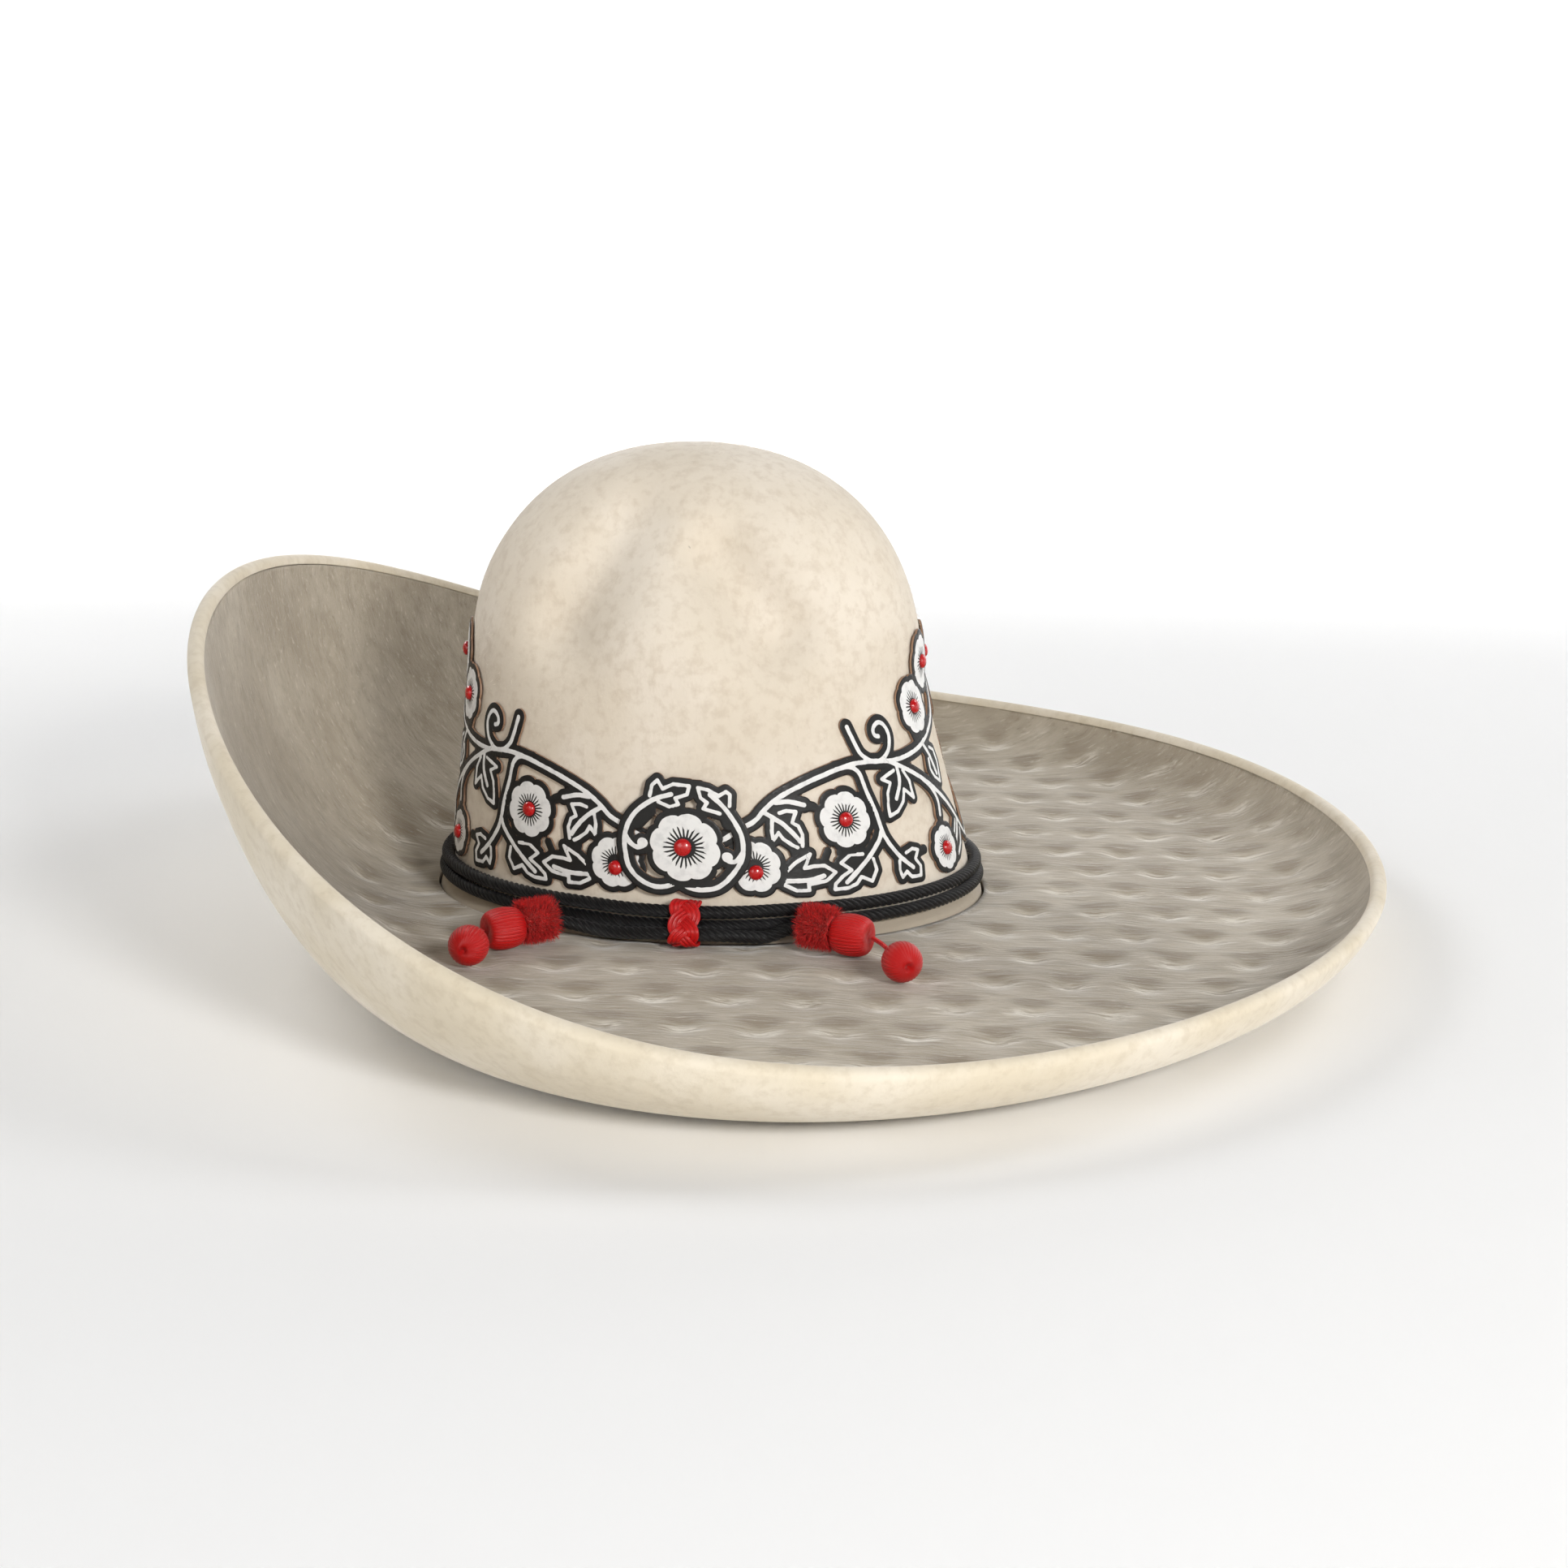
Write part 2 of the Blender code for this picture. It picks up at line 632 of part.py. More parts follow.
def build_tassel(name, spec):
    ruffle = flat_place(spec["ruffle"], BRIM_THICKNESS + RUFFLE_RADIUS + GAP)
    bead = flat_place(spec["bead"], BRIM_THICKNESS + BEAD_RADIUS + GAP)
    ball = flat_place(spec["ball"], BRIM_THICKNESS + BALL_RADIUS + GAP)
    along = Vector((bead.x - ruffle.x, bead.y - ruffle.y, 0)).normalized()
    half = along * RUFFLE_LENGTH / 2
    build_tail(name, spec["side"], ruffle - half - along * 3 * GAP, along)
    round_body("ruffle_" + name, ruffle - half, ruffle + half, RUFFLE_OUTLINE, RUFFLE_RADIUS, "red_chenille")

    bead_start = ruffle + half + along * GAP
    bead_start.z = bead.z
    bead_end = bead_start + along * BEAD_LENGTH
    round_body("bead_" + name, bead_start, bead_end, BEAD_OUTLINE, BEAD_RADIUS, "red_cord")

    hinge = bead_end + along * (2 * GAP + LOOP_RADIUS)
    toward = Vector((ball.x - hinge.x, ball.y - hinge.y, 0)).normalized()
    loop_end = ball - toward * (BALL_RADIUS + BALL_CLEARANCE)
    middle = hinge.lerp(loop_end, 0.5) + Vector((0, 0, LOOP_ARCH))
    swing = add_joint("loop_swing_" + name, hinge)
    line = smooth_line([hinge, middle, loop_end], 4 * LOOP_RADIUS)
    add_tube("loop_" + name, line, LOOP_RADIUS, "red_cord", parent=swing)
    lift = add_joint("ball_lift_" + name, loop_end)
    round_body("ball_" + name, ball - toward * BALL_RADIUS, ball + toward * BALL_RADIUS, ball_outline(),
               BALL_RADIUS, "red_cord", parent=lift)


def build_tail(name, side, end, along):
    """A rope tail from the middle of the knot to its ruffle, lying on the brim."""
    start = tail_at_knot()
    end = Vector((end.x, end.y, end.z - TAIL_DROP_AT_RUFFLE))
    first = start + Vector((side * TAIL_APART, 0, 0))
    clear_of_knot = start + Vector((side * TAIL_PAST_KNOT, 0, 0))
    beside_angle = -math.pi / 2 + side * TAIL_BESIDE_ANGLE
    middle = rope_place(beside_angle, LOWER_TURN_Z, ROPE_PITCH * TAIL_BESIDE_SHARE)
    middle.z = BRIM_THICKNESS + ROPE_RADIUS + 4 * GAP
    route = [first, clear_of_knot, middle, end - along * TAIL_STRAIGHT_AT_RUFFLE, end]
    add_tube("tail_" + name, smooth_line(route, 5 * ROPE_RADIUS), ROPE_RADIUS, "black_rope")


def main():
    clear_scene()
    build_crown()
    build_brim()
    build_sweatband()
    build_bow()
    build_trim()
    build_hatband()
    for name, spec in TASSELS.items():
        build_tassel(name, spec)


main()
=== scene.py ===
"""A charro-style sombrero: felt crown and brim, painted leather trim, satin rope hatband, knot and tassels.

Metres, +Z up, +X towards the front of the hat. The pieces follow the hat as it is put together.
"""
import math

import bpy
import numpy as np
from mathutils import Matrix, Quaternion, Vector


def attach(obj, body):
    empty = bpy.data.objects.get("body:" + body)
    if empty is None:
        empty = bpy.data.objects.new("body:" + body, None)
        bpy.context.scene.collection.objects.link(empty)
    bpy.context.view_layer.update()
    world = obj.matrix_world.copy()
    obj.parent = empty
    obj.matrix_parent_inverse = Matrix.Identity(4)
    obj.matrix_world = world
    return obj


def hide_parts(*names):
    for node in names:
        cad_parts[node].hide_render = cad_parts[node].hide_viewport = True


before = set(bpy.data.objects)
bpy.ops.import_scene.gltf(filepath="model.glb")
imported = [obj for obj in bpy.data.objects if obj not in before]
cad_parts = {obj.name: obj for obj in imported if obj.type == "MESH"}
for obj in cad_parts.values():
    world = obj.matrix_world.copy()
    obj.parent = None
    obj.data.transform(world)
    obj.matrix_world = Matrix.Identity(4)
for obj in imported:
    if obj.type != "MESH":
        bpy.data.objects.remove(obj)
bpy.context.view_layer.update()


# ---- Studio ----
# A round pale floor inside a softly lit wall, a soft key light from the right, a weaker one from the
# left, three that whiten what is behind the hat, and a camera just above the brim, on the knot's side.

def add_light(name, place, target, size, power, colour=(1.0, 1.0, 1.0)):
    lamp = bpy.data.lights.new(name, "AREA")
    lamp.shape = "DISK"
    lamp.size = size
    lamp.energy = power
    lamp.color = colour
    holder = bpy.data.objects.new(name, lamp)
    holder.location = place
    holder.rotation_euler = (Vector(target) - Vector(place)).to_track_quat("-Z", "Y").to_euler()
    bpy.context.scene.collection.objects.link(holder)


def add_mesh(name, points, faces):
    data = bpy.data.meshes.new(name)
    corners = [list(map(int, face)) for face in faces]
    data.from_pydata(np.asarray(points, float).reshape(-1, 3).tolist(), [], corners)
    data.polygons.foreach_set("use_smooth", [True] * len(data.polygons))
    data.update()
    piece = bpy.data.objects.new(name, data)
    bpy.context.scene.collection.objects.link(piece)
    return piece


def new_material(name, colour, roughness, **sockets):
    """A material with its even values set on the shader itself."""
    material = bpy.data.materials.new(name)
    material.use_nodes = True
    shader = material.node_tree.nodes["Principled BSDF"]
    shader.inputs["Base Color"].default_value = (*colour, 1.0)
    shader.inputs["Roughness"].default_value = roughness
    for socket, value in sockets.items():
        shader.inputs[socket.replace("_", " ")].default_value = value
    return material


class Nodes:
    """Short ways to place and join a material's nodes."""

    def __init__(self, material):
        self.tree = material.node_tree
        self.shader = self.tree.nodes["Principled BSDF"]

    def add(self, kind, inputs=None, **settings):
        node = self.tree.nodes.new("ShaderNode" + kind)
        for key, value in settings.items():
            setattr(node, key, value)
        for key, value in (inputs or {}).items():
            socket = node.inputs[key]
            if isinstance(value, bpy.types.NodeSocket):
                self.tree.links.new(value, socket)
            else:
                socket.default_value = value
        return node

    def math(self, operation, a, b=0.0, clamp=False):
        return self.add("Math", {0: a, 1: b}, operation=operation, use_clamp=clamp).outputs[0]

    def mix(self, share, a, b):
        node = self.add("Mix", {0: share, 6: a, 7: b}, data_type="RGBA")
        return node.outputs[2]

    def smooth(self, value, low, high, start=0.0, end=1.0):
        """Goes from start to end as value goes from low to high."""
        return self.add("MapRange", {0: value, 1: low, 2: high, 3: start, 4: end},
                        interpolation_type="SMOOTHSTEP").outputs[0]

    def stretched(self, scale, source="Object"):
        place = self.add("TexCoord").outputs[source]
        return self.add("Mapping", {"Vector": place, "Scale": scale}).outputs[0]

    def noise(self, vector, scale, detail=3.0, roughness=0.5):
        return self.add("TexNoise", {"Vector": vector, "Scale": scale, "Detail": detail,
                                     "Roughness": roughness}).outputs["Fac"]

    def colour(self, value):
        self.tree.links.new(value, self.shader.inputs["Base Color"])

    def roughness(self, value):
        self.tree.links.new(value, self.shader.inputs["Roughness"])

    def bump(self, height, distance, strength=1.0):
        node = self.add("Bump", {"Height": height, "Strength": strength, "Distance": distance})
        self.tree.links.new(node.outputs[0], self.shader.inputs["Normal"])


def grid_faces(rows, sides, closed=False, inward=False, first=0):
    """Faces that join rings of points, each with the same number of sides, one ring after the other."""
    faces = []
    for i in range(rows if closed else rows - 1):
        a = first + i * sides
        b = first + (i + 1) % rows * sides
        for j in range(sides):
            m = (j + 1) % sides
            faces.append((a + j, b + j, b + m, a + m) if inward else (a + j, a + m, b + m, b + j))
    return faces


def round_sweep(name, profile, sides=96):
    """A floor or wall turned about the middle of the studio, from (radius, height) pairs."""
    turn = np.arange(sides) * 2 * math.pi / sides
    points = [(r * math.cos(t), r * math.sin(t), z) for r, z in profile for t in turn]
    return add_mesh(name, points, grid_faces(len(profile), sides))


studio_floor = round_sweep("studio_floor", ((0.001, 0.0), (1.0, 0.0), (2.0, 0.0), (3.0, 0.0)))
floor_paint = new_material("studio_paper", (0.95, 0.95, 0.95), 0.75)
floor_nodes = Nodes(floor_paint)
floor_nodes.bump(floor_nodes.noise(floor_nodes.stretched((1, 1, 1)), 300.0), 0.0001, 0.2)
studio_floor.data.materials.append(floor_paint)
studio_wall = round_sweep("studio_wall", ((3.0, 0.0), (3.2, 0.02), (3.45, 0.12), (3.6, 0.35), (3.65, 1.6)))
wall_paint = new_material("lit_studio_wall", (0.9, 0.9, 0.9), 0.8, Emission_Strength=0.3,
                          Emission_Color=(1.0, 1.0, 1.0, 1.0))
studio_wall.data.materials.append(wall_paint)

add_light("key_right", (0.90, -1.55, 0.80), (0, 0, 0.08), 0.46, 20.5, (1.0, 0.99, 0.97))
add_light("top_soft", (0.0, 0.35, 1.9), (0, 0, 0.0), 1.2, 2)
add_light("fill_left", (-0.75, -1.6, 0.75), (0, 0, 0.08), 0.9, 5)
add_light("floor_wash_left", (-1.7, 1.2, 1.7), (-1.0, 1.6, 0.0), 1.3, 28)
add_light("floor_wash_right", (1.7, 1.2, 1.7), (1.0, 1.6, 0.0), 1.3, 22)
add_light("wall_wash", (0.0, 1.9, 1.7), (0.0, 3.6, 0.4), 1.6, 60)
world = bpy.data.worlds.new("studio")
world.use_nodes = True
world.node_tree.nodes["Background"].inputs["Color"].default_value = (1.0, 1.0, 1.0, 1.0)
world.node_tree.nodes["Background"].inputs["Strength"].default_value = 0.08
bpy.context.scene.world = world
bpy.context.scene.view_settings.view_transform = "Standard"

CAMERA_PLACE = (0.0707, -1.044, 0.293)
CAMERA_AIM = (-0.0069, 0.0, 0.0471)
CAMERA_ROLL = math.radians(0.879)
lens = bpy.data.cameras.new("camera")
lens.lens = 60.39
lens.sensor_width = 36.0
lens.clip_start = 0.01
camera = bpy.data.objects.new("camera", lens)
camera.location = CAMERA_PLACE
aim = (Vector(CAMERA_AIM) - camera.location).to_track_quat("-Z", "Y")
camera.rotation_euler = (aim @ Quaternion((0, 0, 1), CAMERA_ROLL)).to_euler()
bpy.context.scene.collection.objects.link(camera)
bpy.context.scene.camera = camera


# ---- Rope tails ----
# The two free ends of the hatband's rope: six satin strands twisted together, 5 mm thick. They leave
# the middle of the slider knot, one each way, drop on to the brim and end in their tassels' ruffles.

GAP = 0.0003
CROWN_X = -0.0363
CROWN_ASPECT = 0.83
CROWN_LEAN = 0.09
LEAN_START = 0.017
WALL_TAPER = 0.186
FOOT_FLARE = 0.0035
FOOT_TOP = 0.012
FOOT_DROP = 0.006
SHOULDER_Z = 0.095
SHOULDER_LENGTH = 0.091
DOME_HEIGHT = 0.0905
DOME_POWER = 2.2
BRIM_TOP = 0.006
ROPE_RADIUS = 0.0025
ROPE_PITCH = 2 * ROPE_RADIUS + GAP
ROPE_TURN = 0.0170
UPPER_ROPE_Z = 0.0182
LOWER_ROPE_Z = UPPER_ROPE_Z - ROPE_PITCH
TAIL_Z = 0.0112
ROPE_OFF_FELT = 0.0006
KNOT_LIFT = 0.0025
KNOT_SPREAD = math.radians(16)


def crown_lean(z):
    return CROWN_X - CROWN_LEAN * np.clip(z - LEAN_START, 0.0, SHOULDER_Z - LEAN_START)


def crown_place(theta, z, outset=0.0):
    """A point on the crown's outer surface at a bearing and a height, moved outwards by outset."""
    theta, z, outset = np.broadcast_arrays(np.asarray(theta, float), z, outset)
    length = SHOULDER_LENGTH + WALL_TAPER * (SHOULDER_Z - np.minimum(z, SHOULDER_Z))
    share = np.clip((z - SHOULDER_Z) / DOME_HEIGHT, 0.0, 1.0)
    shrink = np.clip(1 - share ** DOME_POWER, 0.0, 1.0) ** (1 / DOME_POWER)
    foot = FOOT_FLARE * np.clip((FOOT_TOP - z) / FOOT_DROP, 0.0, 1.0) ** 2
    half_length = length * shrink + foot + outset
    half_width = length * CROWN_ASPECT * shrink + foot + outset
    return np.stack([crown_lean(z) + half_length * np.cos(theta), half_width * np.sin(theta), z], axis=-1)


def rope_place(theta, z, outset=0.0):
    """The rope's middle line against the crown, lifted a little where the knot passes behind it."""
    from_knot = np.abs((theta + math.pi / 2 + math.pi) % (2 * math.pi) - math.pi)
    lift = KNOT_LIFT * np.exp(-((from_knot / KNOT_SPREAD) ** 4))
    return crown_place(theta, z, ROPE_RADIUS + ROPE_OFF_FELT + lift + outset)


def smooth_line(route, spacing):
    """Evenly spaced points along a smooth curve through the route."""
    route = [np.asarray(p, float) for p in route]
    ends = [2 * route[0] - route[1]] + route + [2 * route[-1] - route[-2]]
    line = []
    for p0, p1, p2, p3 in zip(ends, ends[1:], ends[2:], ends[3:]):
        steps = max(2, int(np.linalg.norm(p2 - p1) / spacing))
        for t in np.arange(steps) / steps:
            line.append(0.5 * (2 * p1 + (p2 - p0) * t + (2 * p0 - 5 * p1 + 4 * p2 - p3) * t ** 2
                               + (3 * p1 - p0 - 3 * p2 + p3) * t ** 3))
    line.append(route[-1])
    return even_line(np.array(line), spacing)


def even_line(line, spacing, closed=False):
    if closed:
        line = np.vstack([line, line[:1]])
    run = np.concatenate([[0], np.cumsum(np.linalg.norm(np.diff(line, axis=0), axis=1))])
    count = max(3, int(round(run[-1] / spacing)))
    at = np.linspace(0, run[-1], count + 1)
    if closed:
        at = at[:-1]
    return np.stack([np.interp(at, run, line[:, i]) for i in range(line.shape[1])], axis=1)


def line_frames(line, closed=False):
    """Tangent and two cross directions along a line, without sudden turns."""
    if closed:
        tangent = np.roll(line, -1, axis=0) - np.roll(line, 1, axis=0)
    else:
        tangent = np.gradient(line, axis=0)
    tangent /= np.linalg.norm(tangent, axis=1)[:, None]
    side = np.zeros_like(tangent)
    first = np.cross(tangent[0], (0, 0, 1.0))
    side[0] = first / max(np.linalg.norm(first), 1e-9)
    for i in range(1, len(line)):
        flat = side[i - 1] - tangent[i] * np.dot(side[i - 1], tangent[i])
        side[i] = flat / np.linalg.norm(flat)
    return tangent, side, np.cross(tangent, side)


def twisted_cord(name, line, radius, turn, strands=6, sides=42):
    """A laid cord: a lobed section, one lobe for each strand, that turns as it goes along."""
    tangent, side, up = line_frames(line)
    run = np.concatenate([[0], np.cumsum(np.linalg.norm(np.diff(line, axis=0), axis=1))])
    around = np.arange(sides) * 2 * math.pi / sides
    strand_off = 1 / (1 + 1.15 * math.sin(math.pi / strands))
    strand_radius = 1.0 - strand_off
    within = (around * strands / (2 * math.pi) + 0.5) % 1.0 - 0.5
    within = within * 2 * math.pi / strands
    bulge = np.sqrt(np.maximum(strand_radius ** 2 - (strand_off * np.sin(within)) ** 2, 0.0))
    lobe = strand_off * np.cos(within) + bulge
    twist = run / turn * 2 * math.pi
    angle = around[None, :] + twist[:, None]
    ring = (side[:, None, :] * np.cos(angle)[..., None] + up[:, None, :] * np.sin(angle)[..., None])
    points = line[:, None, :] + ring * (lobe * radius)[None, :, None]
    rows = len(line)
    faces = grid_faces(rows, sides, inward=True)
    faces.append(tuple(range(sides)))
    faces.append(tuple((rows - 1) * sides + j for j in reversed(range(sides))))
    piece = add_mesh(name, points.reshape(-1, 3), faces)
    mark(piece, "across", np.tile(around / (2 * math.pi) * strands, rows))
    mark(piece, "along", np.repeat(run, sides))
    return piece


def mark(piece, name, values):
    """Stores one number for each of the piece's points, for its material to read."""
    layer = piece.data.attributes.new(name, "FLOAT", "POINT")
    layer.data.foreach_set("value", np.asarray(values, np.float32))


def satin_thread(name, colour, dark_tone_and_shade, roughness, threads=16.0, slant=900.0, sheen=0.3):
    """Satin yarn: fine threads along the strand, with painted sheen on each and painted shade between them.
    """
    material = new_material(name, colour, roughness, Sheen_Weight=sheen, Sheen_Roughness=0.4,
                            Specular_IOR_Level=0.5, Anisotropic=0.4)
    nodes = Nodes(material)
    across = nodes.add("Attribute", attribute_name="across").outputs["Fac"]
    along = nodes.add("Attribute", attribute_name="along").outputs["Fac"]
    phase = nodes.math("ADD", nodes.math("MULTIPLY", across, threads * 2 * math.pi),
                       nodes.math("MULTIPLY", along, slant))
    thread = nodes.math("SINE", phase)
    joined = nodes.add("CombineXYZ", {0: nodes.math("MULTIPLY", across, threads),
                                      1: nodes.math("MULTIPLY", along, 160.0)}).outputs[0]
    uneven = nodes.noise(joined, 1.6, 4.0, 0.6)
    # The thread stripes are painted sheen and painted shade; the uneven noise adds random darker tone.
    share = nodes.smooth(nodes.math("ADD", nodes.math("MULTIPLY", thread, 0.22), uneven), 0.25, 0.85)
    nodes.colour(nodes.mix(share, (*dark_tone_and_shade, 1.0), (*colour, 1.0)))
    nodes.roughness(nodes.smooth(uneven, 0.3, 0.7, roughness - 0.07, roughness + 0.1))
    nodes.bump(nodes.math("ADD", thread, nodes.math("MULTIPLY", uneven, 1.5)), 0.00006, 0.7)
    return material


black_satin = satin_thread("black_satin_rope", (0.008, 0.008, 0.009), (0.002, 0.002, 0.002), 0.34, sheen=0.03)

lower_turn = rope_place(-math.pi / 2, LOWER_ROPE_Z)
tail_out = math.sqrt((ROPE_PITCH + GAP) ** 2 - (LOWER_ROPE_Z - TAIL_Z) ** 2)
tail_exit = np.array([lower_turn[0], lower_turn[1] - tail_out, TAIL_Z])

# Which way each tail runs, and where its ruffle, bead and ball lie from the crown's middle
TASSELS = {
    "right": (1, (0.0506, -0.0975), (0.0641, -0.1030), (0.0830, -0.1330)),
    "left": (-1, (-0.0558, -0.1020), (-0.0674, -0.1110), (-0.0755, -0.1325)),
}
RUFFLE_RADIUS = 0.0092
RUFFLE_LENGTH = 0.0125


def tassel_axis(ruffle_xy, bead_xy):
    """The spot under a ruffle's middle, and the way from it to its bead."""
    under_ruffle = np.array([CROWN_X + ruffle_xy[0], ruffle_xy[1], 0.0])
    along = np.array([bead_xy[0] - ruffle_xy[0], bead_xy[1] - ruffle_xy[1], 0.0])
    return under_ruffle, along / np.linalg.norm(along)


ruffle_lift = (0, 0, BRIM_TOP + RUFFLE_RADIUS + GAP)
tail_routes = {}
for which, (side_sign, ruffle_xy, bead_xy, ball_xy) in TASSELS.items():
    under_ruffle, along = tassel_axis(ruffle_xy, bead_xy)
    ruffle_at = under_ruffle + ruffle_lift
    tail_end = ruffle_at - along * (RUFFLE_LENGTH / 2 + 3 * GAP) - (0, 0, 0.003)
    beside = rope_place(-math.pi / 2 + side_sign * math.radians(15), LOWER_ROPE_Z, ROPE_PITCH * 0.92)
    beside[2] = BRIM_TOP + ROPE_RADIUS + 4 * GAP
    route = [tail_exit + (side_sign * GAP, 0, 0), tail_exit + (side_sign * 0.0125, 0, 0), beside,
             tail_end - along * 0.006, tail_end]
    tail_routes[which] = smooth_line(route, 0.0004)
    tail = twisted_cord("rope_tail_" + which, tail_routes[which], ROPE_RADIUS, ROPE_TURN)
    tail.data.materials.append(black_satin)
    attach(tail, "hat")
    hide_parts("tail_" + which)


# ---- Tassel ruffles ----
# A fuzzy collar of red chenille yarn wound round the end of each tail, with its cut pile standing out
# all round and a few loose ends.

rng = np.random.default_rng(7)


def turned_body(name, start, end, outline, sides, ridges=0, ridge_depth=0.0, wobble=0.0):
    """A body turned about the line from start to end, with thread ridges that run from end to end."""
    start, end = np.asarray(start, float), np.asarray(end, float)
    axis = (end - start) / np.linalg.norm(end - start)
    across = np.cross(axis, (0, 0, 1.0))
    across /= np.linalg.norm(across)
    up = np.cross(axis, across)
    around = np.arange(sides) * 2 * math.pi / sides
    ridge = 1 - ridge_depth * (1 - np.abs(np.cos(around * ridges / 2)) ** 0.7) if ridges else np.ones(sides)
    points = []
    for share, radius in outline:
        lumps = 1 + wobble * (np.sin(around * 3 + share * 9) + 0.7 * np.sin(around * 7 - share * 23))
        circle = np.outer(np.cos(around), across) + np.outer(np.sin(around), up)
        points.append(start + (end - start) * share + circle * (radius * ridge * lumps)[:, None])
    rows = len(outline)
    faces = grid_faces(rows, sides)
    faces.append(tuple(reversed(range(sides))))
    faces.append(tuple((rows - 1) * sides + j for j in range(sides)))
    piece = add_mesh(name, np.concatenate(points), faces)
    mark(piece, "across", np.tile(around / (2 * math.pi) * max(ridges, 1), rows))
    mark(piece, "along", np.repeat([share for share, radius in outline], sides))
    return piece


def pile(name, roots, directions, length, width, droop=0.3):
    """Cut pile: one thin, slightly bent blade for each fibre."""
    count = len(roots)
    directions = directions / np.linalg.norm(directions, axis=1)[:, None]
    flat = np.cross(directions, rng.normal(size=(count, 3)))
    flat /= np.linalg.norm(flat, axis=1)[:, None]
    bend = np.cross(directions, flat)
    reach = length * rng.uniform(0.6, 1.15, count)[:, None]
    lean = droop * rng.normal(size=(count, 1)) * reach
    rows = []
    for share, wide in ((0.0, 1.0), (0.55, 0.85), (1.0, 0.25)):
        middle = roots + directions * reach * share + bend * lean * share ** 2
        rows.append(middle - flat * width * wide / 2)
        rows.append(middle + flat * width * wide / 2)
    points = np.stack(rows, axis=1).reshape(-1, 3)
    faces = []
    for i in range(count):
        b = 6 * i
        faces.append((b, b + 1, b + 3, b + 2))
        faces.append((b + 2, b + 3, b + 5, b + 4))
    return add_mesh(name, points, faces)


red_chenille = new_material("red_chenille", (0.55, 0.010, 0.012), 0.75, Sheen_Weight=0.5, Sheen_Roughness=0.5,
                            Sheen_Tint=(1.0, 0.35, 0.3, 1.0))
chenille_nodes = Nodes(red_chenille)
RUFFLE_FIBRES = 5200
RUFFLE_CORE = 0.66 * RUFFLE_RADIUS
chenille_tone = chenille_nodes.noise(chenille_nodes.stretched((1, 1, 1)), 900.0, 2.0)
chenille_nodes.colour(chenille_nodes.mix(chenille_nodes.smooth(chenille_tone, 0.3, 0.7),
                                         (0.40, 0.003, 0.005, 1.0), (0.80, 0.014, 0.014, 1.0)))
chenille_nodes.bump(chenille_tone, 0.0003, 0.6)

for which, (side_sign, ruffle_xy, bead_xy, ball_xy) in TASSELS.items():
    under_ruffle, along = tassel_axis(ruffle_xy, bead_xy)
    ruffle_at = under_ruffle + ruffle_lift
    outline = [(t, RUFFLE_CORE * (0.55 + 0.45 * math.sin(math.pi * min(max(t, 0.06), 0.94)) ** 0.5))
               for t in np.linspace(0.04, 0.96, 18)]
    ruffle = turned_body("ruffle_core_" + which, ruffle_at - along * RUFFLE_LENGTH / 2,
                         ruffle_at + along * RUFFLE_LENGTH / 2, outline, 60, wobble=0.03)
    ruffle.data.materials.append(red_chenille)
    turn = rng.uniform(0, 2 * math.pi, RUFFLE_FIBRES)
    share = rng.uniform(-0.46, 0.46, RUFFLE_FIBRES)
    across = np.cross(along, (0, 0, 1.0))
    outward = np.outer(np.cos(turn), across) + np.outer(np.sin(turn), (0, 0, 1.0))
    roots = ruffle_at + np.outer(share * RUFFLE_LENGTH, along) + outward * (RUFFLE_CORE * 0.8)
    spread = outward + np.outer(share * 0.75, along) + rng.normal(size=(RUFFLE_FIBRES, 3)) * 0.16
    fluff = pile("ruffle_pile_" + which, roots, spread, RUFFLE_RADIUS * 0.44, 0.00022)
    fluff.data.materials.append(red_chenille)
    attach(ruffle, "hat")
    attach(fluff, "hat")
    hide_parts("ruffle_" + which)


# ---- Beads, loops and balls ----
# A barrel bead and a ball, each a wooden core wound end to end with red satin thread. A two-ply thread
# loop joins them: it turns in the bead's hole, and the ball lifts on the loop's end.

